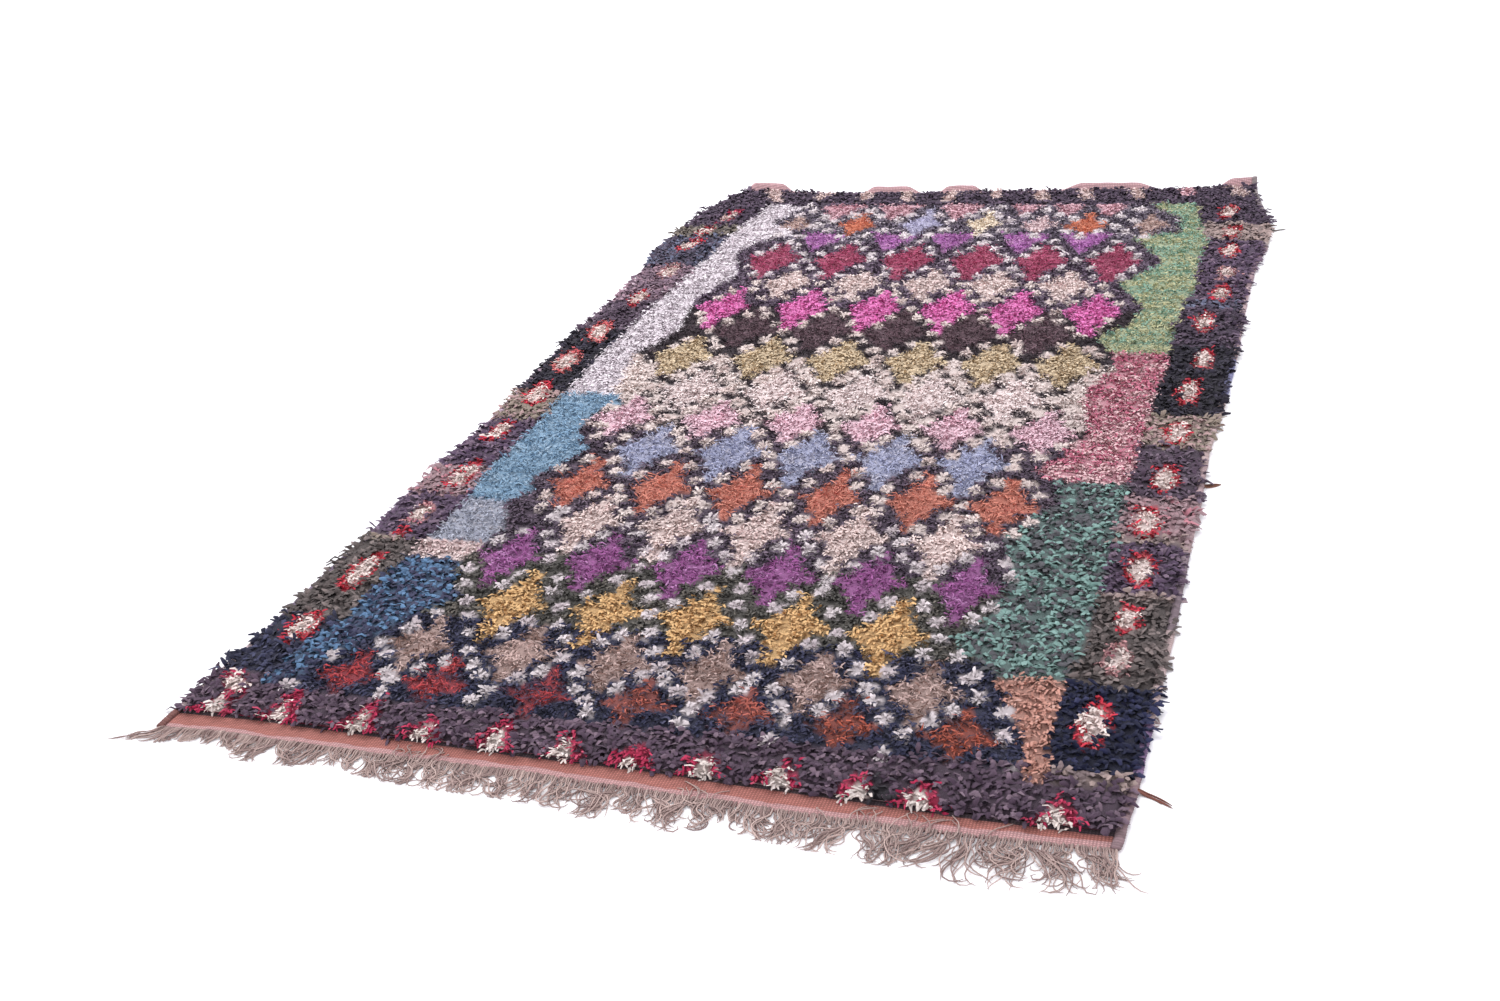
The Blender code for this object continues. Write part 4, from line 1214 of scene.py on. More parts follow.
def ribbon_dyes(chart, style, x, y, chosen, rng, seed):
    """The ribbons' colours along their length.

    A knot is tied with one rag, so most of its ribbons share a colour, and the second colour of a cloth
    runs in streaks across the rug. Each is darker at its root and a touch lighter at its tip, as painted
    shade of the deep pile, and a pale one less so, as light passes through it.
    """
    first, other = chart.column("dye")[chosen], chart.column("other")[chosen]
    share = chart.column("share")[chosen]
    knot_draw = np.random.default_rng(seed + 1).uniform(0.0, 1.0, chart.x.size)[chosen]
    streak = np.clip(0.5 + 0.5 * slow_noise(STREAK_SQUEEZE * x, y, seed=21, scale=0.045), 0.0, 1.0)
    draw = (1.0 - OWN_DRAW - style.streak) * knot_draw + OWN_DRAW * rng.uniform(0.0, 1.0, x.size)
    draw = draw + style.streak * streak
    mixed = np.where((draw < share * DRAW_SCALE + DRAW_START)[:, None], other, first)
    blend = rng.uniform(0.0, 0.25, x.size)[:, None]
    tint = mixed * (1.0 - blend) + other * blend
    value = np.exp(rng.normal(0.0, 0.10, x.size)) * (1.0 + 0.06 * slow_noise(x, y, seed=5, scale=0.25))
    # painted shade along each ribbon: darker at the root, where the pile shades it, and a touch lighter at
    # the tip
    painted_shading = np.interp(np.linspace(0.0, 1.0, style.sections), PAINTED_SHADE_PLACES, PAINTED_SHADE_VALUES)[None, :]
    painted_shading = painted_shading + (1.0 - painted_shading) * PALE_SPARED * tint.mean(axis=1)[:, None]
    return tint[:, None, :] * (value[:, None] * painted_shading)[..., None]


def knot_ribbons(chart, knots, style, root, height, seed):
    """The ribbons of some knots, falling towards the near end with the style's spread."""
    rng = np.random.default_rng(seed + 2)
    chosen = np.repeat(knots, style.per_knot)
    x = chart.x[chosen] + rng.normal(0.0, STRAY_ACROSS, chosen.size)
    y = chart.y[chosen] + rng.normal(0.0, STRAY_ALONG, chosen.size)
    heading = -np.pi / 2 + np.radians(style.spread) * rng.normal(0.0, 1.0, chosen.size)
    return ribbon_grids(chart, style, x, y, heading, chosen, root, height, seed)


def dot_ribbons(chart, low, high, style, root, height, seed):
    """A tuft for each dot: ribbons that start near its centre and fall outwards all round."""
    rng = np.random.default_rng(seed + 3)
    dots = np.array([dot for dot in chart.dots if low <= dot[1] < high])
    dots = np.repeat(dots, style.per_knot, axis=0)
    centre_x, centre_y, half_width, half_length, knot = dots.T
    around = rng.uniform(-np.pi, np.pi, len(dots))
    out = np.sqrt(rng.uniform(0.0, 1.0, len(dots)))
    x = centre_x + TUFT_WIDTH * half_width * out * np.cos(around)
    y = centre_y + TUFT_LENGTH * half_length * out * np.sin(around)
    heading = around + rng.normal(0.0, 0.5, len(dots))
    return ribbon_grids(chart, style, x, y, heading, knot.astype(int), root + TUFT_LIFT, height, seed)


def root_grids(chart, rows, columns, top, thickness):
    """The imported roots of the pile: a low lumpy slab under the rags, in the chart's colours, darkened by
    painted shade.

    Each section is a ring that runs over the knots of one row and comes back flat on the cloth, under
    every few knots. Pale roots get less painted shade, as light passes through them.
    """
    x, y = chart.x.reshape(rows, columns), chart.y.reshape(rows, columns)
    lumps = 0.0016 * slow_noise(x, y, seed=13, scale=0.03) + 0.0012 * slow_noise(x, y, seed=14, scale=0.011)
    over = np.stack([x, y, top + lumps], -1)
    for line in (over[0], over[-1], over[:, 0], over[:, -1]):
        line[..., 2] = thickness + ROOT_RIM
    kept = np.append(np.arange(0, columns - 3, UNDER_SPAN), columns - 1)
    under = over[:, kept]
    under[..., 2] = thickness + ROOT_CLEARANCE
    ring = np.concatenate([over[:, ::-1], under], axis=1)[None]
    first, other, share = chart.column("dye"), chart.column("other"), chart.column("share")[:, None]
    tint = (first * (1.0 - share) + other * share).reshape(rows, columns, 3)
    # painted shade: the roots lie deep in the pile, so their colour is darkened, pale ones less
    tint = tint * (ROOT_PAINTED_SHADE + ROOT_PAINTED_SHADE_PALE * tint.mean(axis=-1, keepdims=True))
    dye = np.concatenate([tint[:, ::-1], tint[:, kept]], axis=1)[None]
    return Grids(ring, dye, np.array([ROOT_GIRTH]), np.array([PILE_LENGTH]), material=0, closed=True)


def tube_grids(line, radius, flat, dye, material, ring, lowest):
    """Tubes along lines: rings of points round each line, level across it, and flattened by flat."""
    ahead = np.gradient(line, axis=1)
    ahead = ahead / np.maximum(np.linalg.norm(ahead, axis=-1, keepdims=True), 1e-9)
    side = np.cross(ahead, np.array([0.0, 0.0, 1.0]))
    side = side / np.maximum(np.linalg.norm(side, axis=-1, keepdims=True), 1e-9)
    top = np.cross(side, ahead)
    angle = 2 * np.pi * np.arange(ring) / ring
    spread = side[:, :, None, :] * np.cos(angle)[:, None]
    spread = spread + top[:, :, None, :] * (flat * np.sin(angle))[:, None]
    points = line[:, :, None, :] + spread * radius[..., None]
    points[..., 2] = np.maximum(points[..., 2], lowest)
    steps = np.linalg.norm(np.diff(line, axis=1), axis=-1)
    width = 2 * np.pi * radius.reshape(radius.shape[0], -1).max(axis=1)
    return Grids(points, dye, width, steps.sum(axis=1), material, closed=True)


class RUG_PG_cloth(bpy.types.PropertyGroup):
    """Sizes and colours of the ground cloth."""

    thickness: bpy.props.FloatProperty(
        name="Thickness", description="Thickness of the woven ground", default=0.003, unit="LENGTH"
    )
    far_band: bpy.props.FloatProperty(
        name="Far band", description="Bare cloth beyond the pile", default=FAR_BAND_WIDTH, unit="LENGTH"
    )
    pink_width: bpy.props.FloatProperty(
        name="Pink band",
        description="Width of the pink stripe next to the fringe",
        default=0.015,
        unit="LENGTH",
    )
    rust: bpy.props.FloatVectorProperty(
        name="Rust",
        description="Stripe next to the pile",
        default=(0.615, 0.395, 0.36),
        subtype="COLOR_GAMMA",
    )
    pink: bpy.props.FloatVectorProperty(
        name="Pink",
        description="Stripe next to the fringe",
        default=(0.69, 0.535, 0.53),
        subtype="COLOR_GAMMA",
    )
    far_pink: bpy.props.FloatVectorProperty(
        name="Far pink",
        description="Bare cloth at the far end",
        default=(0.71, 0.57, 0.58),
        subtype="COLOR_GAMMA",
    )


class RUG_PG_pile(bpy.types.PropertyGroup):
    """How densely the rags are knotted and how they lie."""

    pitch_across: bpy.props.FloatProperty(
        name="Knot pitch", description="Distance between knots in a row", default=0.0080, unit="LENGTH"
    )
    pitch_along: bpy.props.FloatProperty(
        name="Row pitch", description="Distance between rows of knots", default=0.0158, unit="LENGTH"
    )
    height: bpy.props.FloatProperty(
        name="Height", description="Length of the rags against the usual one", default=1.0, subtype="FACTOR"
    )
    ragged: bpy.props.FloatProperty(
        name="Raggedness", description="How far a colour strays over its edge", default=0.0018, unit="LENGTH"
    )
    reach: bpy.props.FloatProperty(
        name="Reach", description="How far nearer than its knot a rag shows", default=0.007, unit="LENGTH"
    )
    root: bpy.props.FloatProperty(
        name="Roots",
        description="Height of the packed roots, where the rags come free",
        default=0.010,
        unit="LENGTH",
    )
    dot_half_width: bpy.props.FloatProperty(
        name="Dot half width", description="Half the width of a white dot", default=0.0135, unit="LENGTH"
    )
    dot_half_length: bpy.props.FloatProperty(
        name="Dot half length", description="Half the length of a white dot", default=0.0165, unit="LENGTH"
    )
    seed: bpy.props.IntProperty(name="Seed", description="Number that all the draws start from", default=11)


class RUG_PG_fringe(bpy.types.PropertyGroup):
    """Sizes and colours of the warp fringe."""

    strands: bpy.props.IntProperty(
        name="Strands", description="Number of twisted warp ends", default=860, min=50, max=1200
    )
    thickness: bpy.props.FloatProperty(
        name="Thickness", description="Thickness of a strand", default=0.0021, unit="LENGTH"
    )
    light: bpy.props.FloatVectorProperty(
        name="Light", description="Lighter warp wool", default=(0.80, 0.705, 0.67), subtype="COLOR_GAMMA"
    )
    dark: bpy.props.FloatVectorProperty(
        name="Dark", description="Darker warp wool", default=(0.57, 0.475, 0.46), subtype="COLOR_GAMMA"
    )


class RUG_PG_edge(bpy.types.PropertyGroup):
    """Sizes of the overcast side edges."""

    width: bpy.props.FloatProperty(
        name="Width", description="Width of the cord", default=0.014, unit="LENGTH"
    )
    height: bpy.props.FloatProperty(
        name="Height", description="Height of the cord", default=0.0075, unit="LENGTH"
    )
    wrap_pitch: bpy.props.FloatProperty(
        name="Wrap pitch",
        description="Distance from one turn of yarn to the next",
        default=0.0052,
        unit="LENGTH",
    )


class RUG_PG_stage(bpy.types.PropertyGroup):
    """The floor, the light and the camera."""

    floor: bpy.props.FloatVectorProperty(
        name="Floor", description="Colour of the floor", default=(0.97, 0.97, 0.97), subtype="COLOR_GAMMA"
    )
    sky: bpy.props.FloatProperty(name="Sky", description="Strength of the light all round", default=1.30)
    key: bpy.props.FloatProperty(
        name="Key", description="Power of the large soft light", default=90.0, unit="POWER"
    )
    lens: bpy.props.FloatProperty(name="Lens", description="Focal length on a 36 mm sensor", default=39.083)
    eye: bpy.props.FloatVectorProperty(
        name="Eye",
        description="Place of the camera",
        default=(0.9094, -2.9401, 1.2726),
        subtype="XYZ",
        unit="LENGTH",
    )
    aim: bpy.props.FloatVectorProperty(
        name="Aim",
        description="Bearing from the rug's length, angle down, and roll of the camera",
        default=(-0.3775, 0.4543, -0.1147),
        subtype="EULER",
        unit="ROTATION",
    )


def gamma_colour(value):
    """A colour property's screen values as linear light."""
    return srgb_to_linear(np.array(value) * 255.0)


def dress(piece, slot, *nodes):
    """Puts a piece on the rug's one body, in place of CAD nodes. Its slot argument is not used."""
    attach(piece, "root")
    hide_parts(*nodes)


class RUG_OT_ground(bpy.types.Operator):
    """Weaves the ground cloth: one flat closed tube whose sections run across the rug"""

    bl_idname = "rug.ground_cloth"
    bl_label = "Ground cloth"

    def execute(self, context):
        size = context.scene.rug_cloth
        share_across = np.linspace(0.0, 1.0, 180)
        near_rows = np.linspace(0.0, 0.018, 28, endpoint=False)
        far_rows = 1.0 - np.linspace(0.0, 0.018, 12, endpoint=False)[::-1]
        share_along = np.concatenate([near_rows, np.linspace(0.018, 0.982, 18), far_rows])
        v, u = np.meshgrid(share_along, share_across, indexing="ij")
        y = -1.36 + 2.73 * v
        for _ in range(OUTLINE_ROUNDS):
            left = table_at(SIDES, "along", "left", y) + 0.004
            right = table_at(SIDES, "along", "right", y) - 0.004
            x = left + (right - left) * u
            near = table_at(NEAR_END, "across", "cloth", x)
            far = table_at(FAR_END, "across", "pile", x) + size.far_band
            y = near + (far - near) * v
        pile_far = table_at(FAR_END, "across", "pile", x)
        rise = hump_rise(x) * smooth_step((y - pile_far) / size.far_band)
        wave = 0.0006 * slow_noise(x, y, 3, 0.05)
        top = np.stack([x, y, rise + size.thickness + wave * smooth_step((y - pile_far) / 0.01)], -1)
        bottom = np.stack([x, y, rise], -1)
        ring = np.concatenate([top[:, ::-1], bottom], axis=1)[None]
        dye = self.dyes(size, x, y)
        dye = np.concatenate([dye[:, ::-1], dye], axis=1)[None]
        grids = Grids(ring, dye, np.array([2.9]), np.array([2.74]), 0, True)
        woven = woven_material("ground_weave", 72.0, 84.0, 0.0008)
        piece = mesh_from_grids("ground_cloth", [grids], [woven])
        dress(piece, "rag_pile", "rug_body")
        return {"FINISHED"}

    def dyes(self, size, x, y):
        """The cloth's colours: dark knots under the pile, painted shade under the rags, a rust and a pink
        stripe near, and pink far.
        """
        near_pile = table_at(NEAR_END, "across", "pile", x)
        far_pile = table_at(FAR_END, "across", "pile", x)
        # painted shade: the cloth under the pile is dark, as the rags over it shade it
        colour = np.zeros(x.shape + (3,)) + srgb_to_linear((70, 58, 62))
        fleck = 1.0 + 0.10 * slow_noise(x, y, 9, 0.012)[..., None]
        cloth_edge = table_at(NEAR_END, "across", "cloth", x)
        rust = y < near_pile + 0.004
        pink = y < cloth_edge + size.pink_width + 0.0020 * slow_noise(x, 0.0 * y, 27, 0.09)
        far = y > far_pile
        colour[rust] = gamma_colour(size.rust)
        colour[pink] = gamma_colour(size.pink)
        colour[far] = gamma_colour(size.far_pink)
        return colour * fleck


class RUG_OT_pile(bpy.types.Operator):
    """Knots the rag pile from the chart: one mesh for each border, panel and part of the field"""

    bl_idname = "rug.pile"
    bl_label = "Rag pile"

    def execute(self, context):
        size = context.scene.rug_pile
        rng = np.random.default_rng(size.seed)
        dots = (size.dot_half_width, size.dot_half_length, 0.005, size.seed + 2)
        grid_x, grid_y = knot_places(size.pitch_across, size.pitch_along)
        shift = (np.arange(len(grid_x))[:, None] % 2 - 0.5) * 0.5 * size.pitch_across
        x = (grid_x + shift + rng.normal(0.0, KNOT_ACROSS, grid_x.shape)).ravel()
        y = (grid_y + rng.normal(0.0, KNOT_ALONG, grid_y.shape)).ravel()
        chart = KnotChart(x, y, size.ragged, size.reach, size.seed + 1)
        chart.paint_all(*dots)
        rag = fibre_material("rag_jersey", 900.0, 700.0, 0.06, 0.85, 0.0003)
        yarn = fibre_material("spun_yarn", 1400.0, 1100.0, 0.08, 0.9, 0.0004)

        base = KnotChart(grid_x.ravel(), grid_y.ravel(), 0.0, 0.5 * size.reach, size.seed)
        base.paint_all(*dots)
        roots = root_grids(base, *grid_x.shape, size.root + ROOT_LIFT, context.scene.rug_cloth.thickness)
        dress(mesh_from_grids("pile_roots", [roots], [yarn]), "rag_pile", "rug_body")

        knot_style = chart.column("style")
        field_ends = (-2.0, *FIELD_SPLITS, 2.0)
        for code, name in enumerate(PILE_PIECES):
            parts = []
            for number, (style_name, style) in enumerate(STYLES.items()):
                seed = size.seed + 100 * code + 10 * number
                knots = np.flatnonzero((chart.piece == code) & (knot_style == style_name) & ~chart.in_dot)
                if knots.size:
                    parts.append(knot_ribbons(chart, knots, style, size.root, size.height, seed))
            if code >= 6:
                ends = field_ends[code - 6 : code - 4]
                parts.append(dot_ribbons(chart, *ends, STYLES["burst"], size.root, size.height, code))
            dress(mesh_from_grids(name, parts, [rag, yarn]), "rag_pile", "rug_body")
        return {"FINISHED"}


class RUG_OT_fringe(bpy.types.Operator):
    """Twists the warp ends of the near edge into a tangled fringe that lies on the floor"""

    bl_idname = "rug.fringe"
    bl_label = "Warp fringe"
    # How far in from the cloth's edge a strand is knotted.
    on_cloth = 0.0085

    def execute(self, context):
        size = context.scene.rug_fringe
        rng = np.random.default_rng(31)
        loose = self.loose_strands(size, rng)
        folded = self.folded_strands(size, rng)
        wool = fibre_material("warp_wool", 1200.0, 900.0, 0.08, 0.9, 0.0004)
        piece = mesh_from_grids("warp_ends", [loose, folded], [wool])
        dress(piece, "warp_fringe", "fringe_near")
        return {"FINISHED"}

    def tints(self, size, rng, count, sections):
        """Wool between dark and light, with painted shade that makes it a little darker at the cloth."""
        share = rng.uniform(0.0, 1.0, count)[:, None, None]
        tint = gamma_colour(size.dark) * (1.0 - share) + gamma_colour(size.light) * share
        # painted shade: darker where the strands leave the cloth, a touch lighter at the tips
        painted_shading = np.interp(np.linspace(0.0, 1.0, sections), [0.0, 0.2, 1.0], [0.8, 1.0, 1.02])
        return tint * painted_shading[None, :, None] * rng.uniform(0.85, 1.12, (count, 1, 1))

    def loose_strands(self, size, rng):
        """Strands that run out from the cloth, straight at first, and gather into tangled clumps.

        A strand is a chain of equal steps. Once clear of the cloth its heading leans with its clump, swings
        as a sine wave and curls in its last third, and the strand drifts towards its clump's middle. One
        that would pass the fringe's reach is shrunk to it.
        """
        count, sections = size.strands, 13
        t = np.linspace(0.0, 1.0, sections)
        start = np.linspace(-0.694, 0.700, count) + rng.normal(0.0, 0.0009, count)
        clump = np.searchsorted(np.cumsum(rng.integers(5, 19, count)), np.arange(count), side="right")
        groups = clump.max() + 1
        middle = np.bincount(clump, start) / np.bincount(clump)
        lean = rng.normal(0.0, 0.30, groups)[clump] + rng.normal(0.0, 0.20, count)
        swing = rng.uniform(0.3, 1.0, groups)[clump] * rng.uniform(0.5, 1.5, count)
        waves = rng.uniform(0.7, 1.7, groups)[clump]
        phase = rng.uniform(0.0, 1.0, groups)[clump] + rng.normal(0.0, 0.12, count)
        curl = rng.normal(0.0, 1.4, groups)[clump] + rng.normal(0.0, 1.3, count)
        turn = lean[:, None] + swing[:, None] * np.sin(2 * np.pi * (waves[:, None] * t + phase[:, None]))
        turn = turn + curl[:, None] * np.clip((t - 0.60) / 0.40, 0.0, 1.0) ** 1.5
        reach = table_at(FRINGE_REACH, "across", "reach", start) + self.on_cloth - 0.003
        length = reach * rng.uniform(0.80, 1.25, groups)[clump] * rng.uniform(0.6, 1.25, count)
        clear = smooth_step((length[:, None] * t - 0.010) / 0.016)
        turn = turn * clear
        step = (length / (sections - 1))[:, None]
        x_off = np.cumsum(np.sin(turn) * step, axis=1)
        y_off = -np.cumsum(np.cos(turn) * step, axis=1)
        shrink = np.minimum(1.0, reach / np.maximum(-y_off.min(axis=1), 1e-4))[:, None]
        gather = (middle[clump] - start)[:, None] * rng.uniform(0.35, 0.9, count)[:, None] * clear
        drift = table_at(FRINGE_REACH, "across", "drift", start)[:, None]
        edge = table_at(NEAR_END, "across", "cloth", start)[:, None]
        x = start[:, None] + x_off * shrink + drift * t**1.4 + gather
        y = edge + self.on_cloth + y_off * shrink
        radius = 0.5 * size.thickness * rng.uniform(0.7, 1.15, count)
        layer = rng.uniform(0.0, 0.0050, count)
        z = radius[:, None] + 0.0028 * (1.0 - smooth_step((edge + 0.001 - y) / 0.010))
        z = z + layer[:, None] * np.sin(np.pi * np.clip(t * 1.05, 0.0, 1.0)) ** 0.8
        thin = np.interp(t, [0.0, 0.85, 1.0], [1.0, 0.9, 0.3])
        line = np.stack([x, np.maximum(y, -1.474), z], -1)
        radii = (radius[:, None] * thin)[..., None] * np.ones(5)
        return tube_grids(line, radii, 1.0, self.tints(size, rng, count, sections), 0, 5, 0.0)

    def folded_strands(self, size, rng):
        """Strands that turn back over the near band: out a little, up, and back onto the cloth."""
        starts = [rng.uniform(row.start, row.end, row.strands) for row in FOLDED_BACK]
        start = np.concatenate(starts)
        count, sections = start.size, 13
        t = np.linspace(0.0, 1.0, sections)
        edge = table_at(NEAR_END, "across", "cloth", start)
        out = rng.uniform(0.006, 0.016, count)[:, None]
        back = rng.uniform(0.016, 0.034, count)[:, None]
        y = edge[:, None] - out * np.sin(np.pi * np.clip(t * 1.6, 0.0, 1.0))
        y = y + back * smooth_step((t - 0.3) / 0.7)
        lean = rng.normal(0.0, 0.022, count)[:, None]
        bow = rng.uniform(0.002, 0.009, count)[:, None]
        phase = rng.uniform(0.0, 1.0, count)[:, None]
        x = start[:, None] + lean * t + bow * np.sin(2 * np.pi * (1.3 * t + phase))
        radius = 0.5 * size.thickness * rng.uniform(0.55, 0.9, count)
        on_cloth = 0.003 + radius[:, None]
        z = on_cloth + 0.004 * np.sin(np.pi * t) * rng.uniform(0.3, 1.0, count)[:, None]
        z = np.where(y < edge[:, None], np.maximum(z - 0.002, radius[:, None]), z)
        thin = np.interp(t, [0.0, 0.9, 1.0], [1.0, 0.9, 0.3])
        radii = (radius[:, None] * thin)[..., None] * np.ones(5)
        line = np.stack([x, y, z], -1)
        return tube_grids(line, radii, 1.0, self.tints(size, rng, count, sections), 0, 5, 0.0)


class RUG_OT_edges(bpy.types.Operator):
    """Overcasts the side edges: a cord under turns of yarn, with a few loose ends"""

    bl_idname = "rug.edges"
    bl_label = "Overcast edges"

    def execute(self, context):
        size = context.scene.rug_edge
        yarn = fibre_material("overcast_wool", 1000.0, 800.0, 0.08, 0.88, 0.0004)
        for side, name, node in (
            (-1, "overcast_left", "selvedge_left"),
            (1, "overcast_right", "selvedge_right"),
        ):
            parts = [self.cord(size, side), self.loose_ends(side)]
            piece = mesh_from_grids(name, parts, [yarn])
            dress(piece, "overcast_yarn", node)
        return {"FINISHED"}

    def cord(self, size, side):
        """The cord: its radius swells once in each turn of yarn, and the turns climb it as a screw does.
        Painted shade darkens the grooves between the turns.
        """
        ring, per_turn = 8, 4
        key = "left" if side < 0 else "right"
        near = table_at(NEAR_END, "across", "cloth", 0.70 * side) + 0.002
        far = table_at(FAR_END, "across", "pile", 0.70 * side) + FAR_BAND_WIDTH - 0.003
        turns = int((far - near) / size.wrap_pitch)
        y = np.linspace(near, far, turns * per_turn)
        outer = table_at(SIDES, "along", key, y)
        x = outer - side * 0.5 * size.width + 0.0007 * slow_noise(y, y * 0.0, 17 + side, 0.06)
        rise = hump_rise(x) * smooth_step((y - far + FAR_BAND_WIDTH) / FAR_BAND_WIDTH)
        z = 0.5 * size.height + rise
        line = np.stack([x, y, z], -1)[None]
        angle = np.arange(ring) / ring
        phase = (y - near)[:, None] / size.wrap_pitch + angle[None, :] * side
        swell = 0.86 + 0.16 * np.abs(np.sin(np.pi * phase)) ** 0.8
        lump = 1.0 + 0.05 * slow_noise(y, y * 0.0, 23 + side, 0.02)[:, None]
        radius = 0.5 * size.width * swell * lump
        radius[0] = radius[-1] = 0.3 * radius[1]
        rows = [row for row in OVERCAST if row.side == side]
        index = np.clip(np.searchsorted([row.end for row in rows], y), 0, len(rows) - 1)
        tint = srgb_to_linear([row.tint for row in rows])[index]
        rng = np.random.default_rng(41 + side)
        turn = np.floor((y - near) / size.wrap_pitch).astype(int)
        value = np.exp(rng.normal(0.0, 0.12, turn.max() + 2))[turn]
        # painted shade in the grooves between turns of yarn, a touch lighter on their crowns
        groove_shade = np.interp(np.abs(np.sin(np.pi * phase)), [0.0, 0.5, 1.0], [0.6, 0.95, 1.05])
        dye = (tint * value[:, None])[:, None, :] * groove_shade[..., None]
        return tube_grids(line, radius[None], size.height / size.width, dye[None], 0, ring, 0.0)

    def loose_ends(self, side):
        """Four strands at each tail, running out over the floor from under the cord."""
        rows = [row for row in TAILS if row.side == side]
        rng = np.random.default_rng(51 + side)
        per_tail, sections = 4, 10
        t = np.linspace(0.0, 1.0, sections)
        key = "left" if side < 0 else "right"
        lines, tints = [], []
        for row in rows:
            start = table_at(SIDES, "along", key, row.along) - side * 0.006
            reach = (row.reach + 0.006) * rng.uniform(0.6, 1.0, per_tail)[:, None]
            x = start + side * reach * t
            bow = rng.normal(0.0, 0.004, per_tail)[:, None] * np.sin(np.pi * t)
            y = row.along + row.drift * t**1.3 + bow + rng.normal(0.0, 0.003, per_tail)[:, None]
            z = 0.0012 + 0.004 * (1.0 - smooth_step(2.5 * t)) + 0.0 * x
            lines.append(np.stack([x, y, z], -1))
            value = rng.uniform(0.85, 1.15, (per_tail, 1, 1))
            tints.append(srgb_to_linear(row.tint) * value * np.ones((per_tail, sections, 1)))
        line, dye = np.concatenate(lines), np.concatenate(tints)
        thin = np.interp(t, [0.0, 0.8, 1.0], [1.0, 0.9, 0.3]) * 0.0013
        radii = np.ones((line.shape[0], 1, 1)) * thin[None, :, None] * np.ones(5)
        return tube_grids(line, radii, 1.0, dye, 0, 5, 0.0)


class RUG_OT_stage(bpy.types.Operator):
    """Sets a plain pale floor, soft light all round, one large soft lamp and the camera"""

    bl_idname = "rug.stage"
    bl_label = "Stage"

    def execute(self, context):
        size = context.scene.rug_stage
        scene = context.scene
        scene.view_settings.view_transform = "Standard"
        self.floor(size)
        world = bpy.data.worlds.new("studio")
        world.use_nodes = True
        background = world.node_tree.nodes["Background"]
        background.inputs["Color"].default_value = (1.0, 0.985, 1.045, 1.0)
        background.inputs["Strength"].default_value = size.sky
        scene.world = world
        lamp = bpy.data.lights.new("soft_lamp", "AREA")
        lamp.shape = "RECTANGLE"
        lamp.size, lamp.size_y = 3.0, 3.0
        lamp.energy = size.key
        lamp_object = bpy.data.objects.new("soft_lamp", lamp)
        lamp_object.matrix_world = facing(np.array([-1.6, 1.0, 3.2]), np.array([0.0, 0.0, 0.0]))
        scene.collection.objects.link(lamp_object)
        self.camera(size, scene)
        return {"FINISHED"}

    def floor(self, size):
        """A level square under the rug."""
        half = 14.0
        mesh = bpy.data.meshes.new("floor")
        corners = [(-half, -half, 0.0), (half, -half, 0.0), (half, half, 0.0), (-half, half, 0.0)]
        mesh.from_pydata(corners, [], [(0, 1, 2, 3)])
        material = bpy.data.materials.new("pale_floor")
        material.use_nodes = True
        shader = material.node_tree.nodes["Principled BSDF"]
        shader.inputs["Base Color"].default_value = (*gamma_colour(size.floor), 1.0)
        shader.inputs["Roughness"].default_value = 0.9
        shader.inputs["Specular IOR Level"].default_value = 0.1
        mesh.materials.append(material)
        floor = bpy.data.objects.new("floor", mesh)
        bpy.context.scene.collection.objects.link(floor)

    def camera(self, size, scene):
        """The camera at the photograph's place, looking along its bearing, tipped down and rolled."""
        bearing, down, roll = size.aim
        ahead = np.array(
            [
                math.sin(bearing) * math.cos(down),
                math.cos(bearing) * math.cos(down),
                -math.sin(down),
            ]
        )
        right = np.array([math.cos(bearing), -math.sin(bearing), 0.0])
        up = np.cross(right, ahead)
        rolled_right = math.cos(roll) * right + math.sin(roll) * up
        rolled_up = math.cos(roll) * up - math.sin(roll) * right
        lens = bpy.data.cameras.new("camera")
        lens.sensor_width = 36.0
        lens.lens = size.lens
        camera = bpy.data.objects.new("camera", lens)
        place = Matrix.Identity(4)
        for axis, vector in enumerate((rolled_right, rolled_up, -ahead, np.array(size.eye))):
            for part in range(3):
                place[part][axis] = vector[part]
        camera.matrix_world = place
        scene.collection.objects.link(camera)
        scene.camera = camera


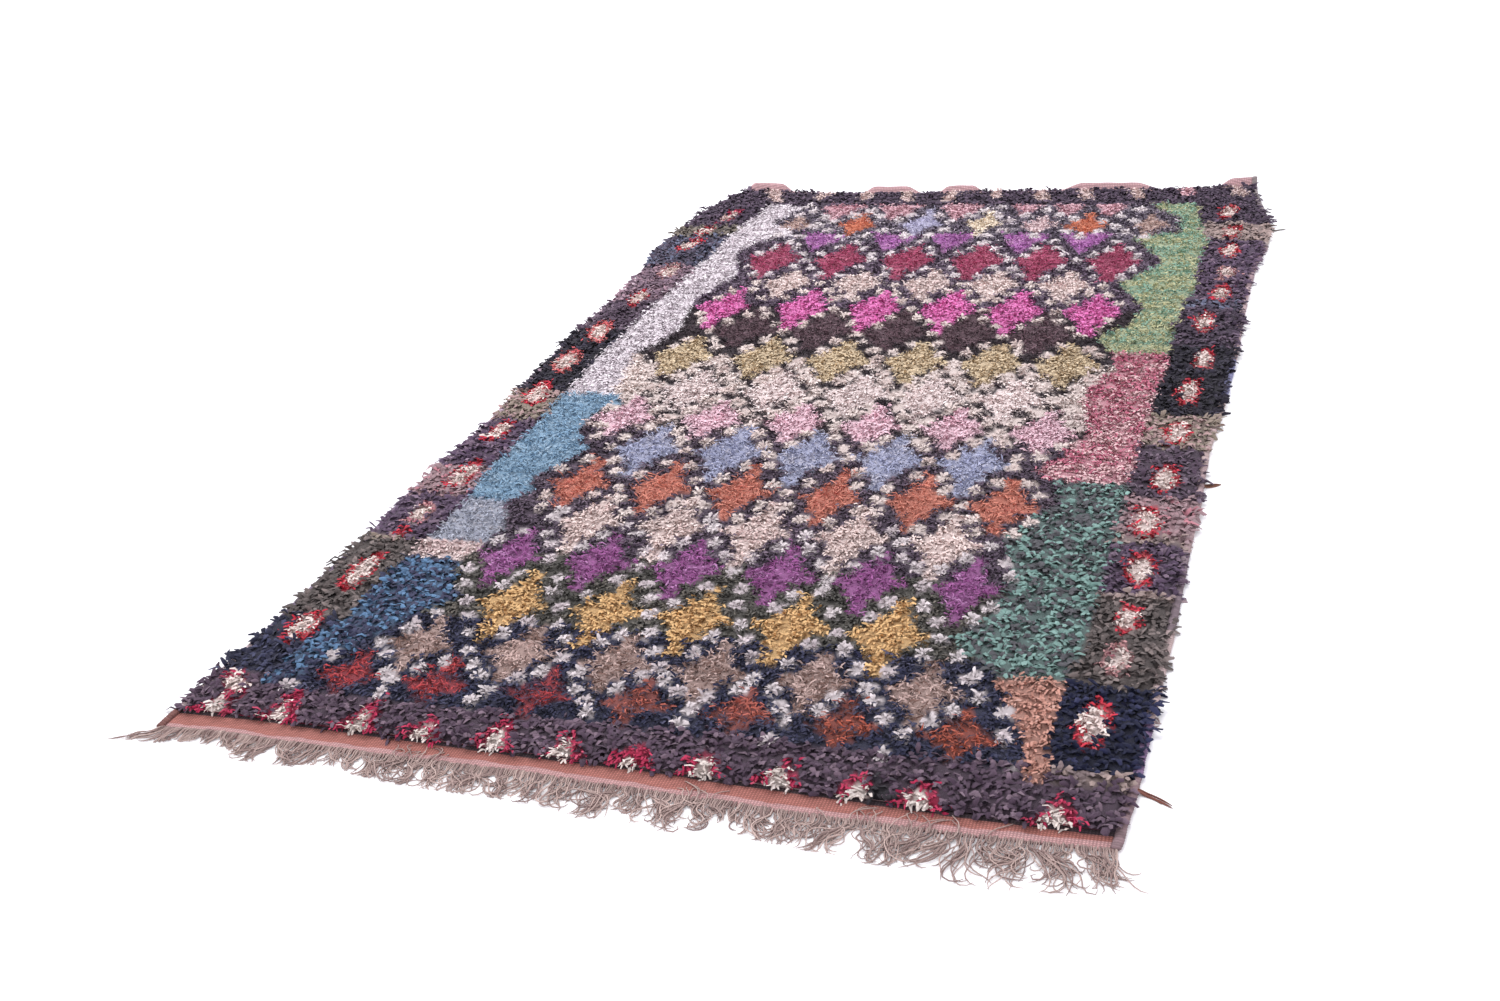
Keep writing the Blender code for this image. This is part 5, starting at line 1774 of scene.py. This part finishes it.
def facing(eye, target):
    """A placement at eye whose -Z axis points at target."""
    back = (eye - target) / np.linalg.norm(eye - target)
    right = np.cross(np.array([0.0, 1.0, 0.0]), back)
    right = right / np.linalg.norm(right)
    up = np.cross(back, right)
    place = Matrix.Identity(4)
    for axis, vector in enumerate((right, up, back, eye)):
        for part in range(3):
            place[part][axis] = vector[part]
    return place


class RUG_PT_panel(bpy.types.Panel):
    """The rug's pieces and their sizes in the sidebar"""

    bl_idname = "RUG_PT_panel"
    bl_label = "Rag pile rug"
    bl_space_type = "VIEW_3D"
    bl_region_type = "UI"
    bl_category = "Rug"

    def draw(self, context):
        for title, group, operator in SECTIONS:
            box = self.layout.box()
            box.label(text=title)
            settings = getattr(context.scene, group)
            for name in settings.__annotations__:
                box.prop(settings, name)
            box.operator(operator)


GROUPS = (
    ("rug_cloth", RUG_PG_cloth),
    ("rug_pile", RUG_PG_pile),
    ("rug_fringe", RUG_PG_fringe),
    ("rug_edge", RUG_PG_edge),
    ("rug_stage", RUG_PG_stage),
)
SECTIONS = (
    ("Ground cloth", "rug_cloth", "rug.ground_cloth"),
    ("Rag pile", "rug_pile", "rug.pile"),
    ("Warp fringe", "rug_fringe", "rug.fringe"),
    ("Overcast edges", "rug_edge", "rug.edges"),
    ("Stage", "rug_stage", "rug.stage"),
)
OPERATORS = (RUG_OT_ground, RUG_OT_pile, RUG_OT_fringe, RUG_OT_edges, RUG_OT_stage)


def register():
    for name, group in GROUPS:
        bpy.utils.register_class(group)
        setattr(bpy.types.Scene, name, bpy.props.PointerProperty(type=group))
    for operator in OPERATORS:
        bpy.utils.register_class(operator)
    bpy.utils.register_class(RUG_PT_panel)


def unregister():
    bpy.utils.unregister_class(RUG_PT_panel)
    for operator in reversed(OPERATORS):
        bpy.utils.unregister_class(operator)
    for name, group in reversed(GROUPS):
        delattr(bpy.types.Scene, name)
        bpy.utils.unregister_class(group)


def main():
    register()
    bpy.ops.rug.ground_cloth()
    bpy.ops.rug.pile()
    bpy.ops.rug.fringe()
    bpy.ops.rug.edges()
    bpy.ops.rug.stage()
    bpy.context.view_layer.update()


if __name__ == "__main__":
    main()
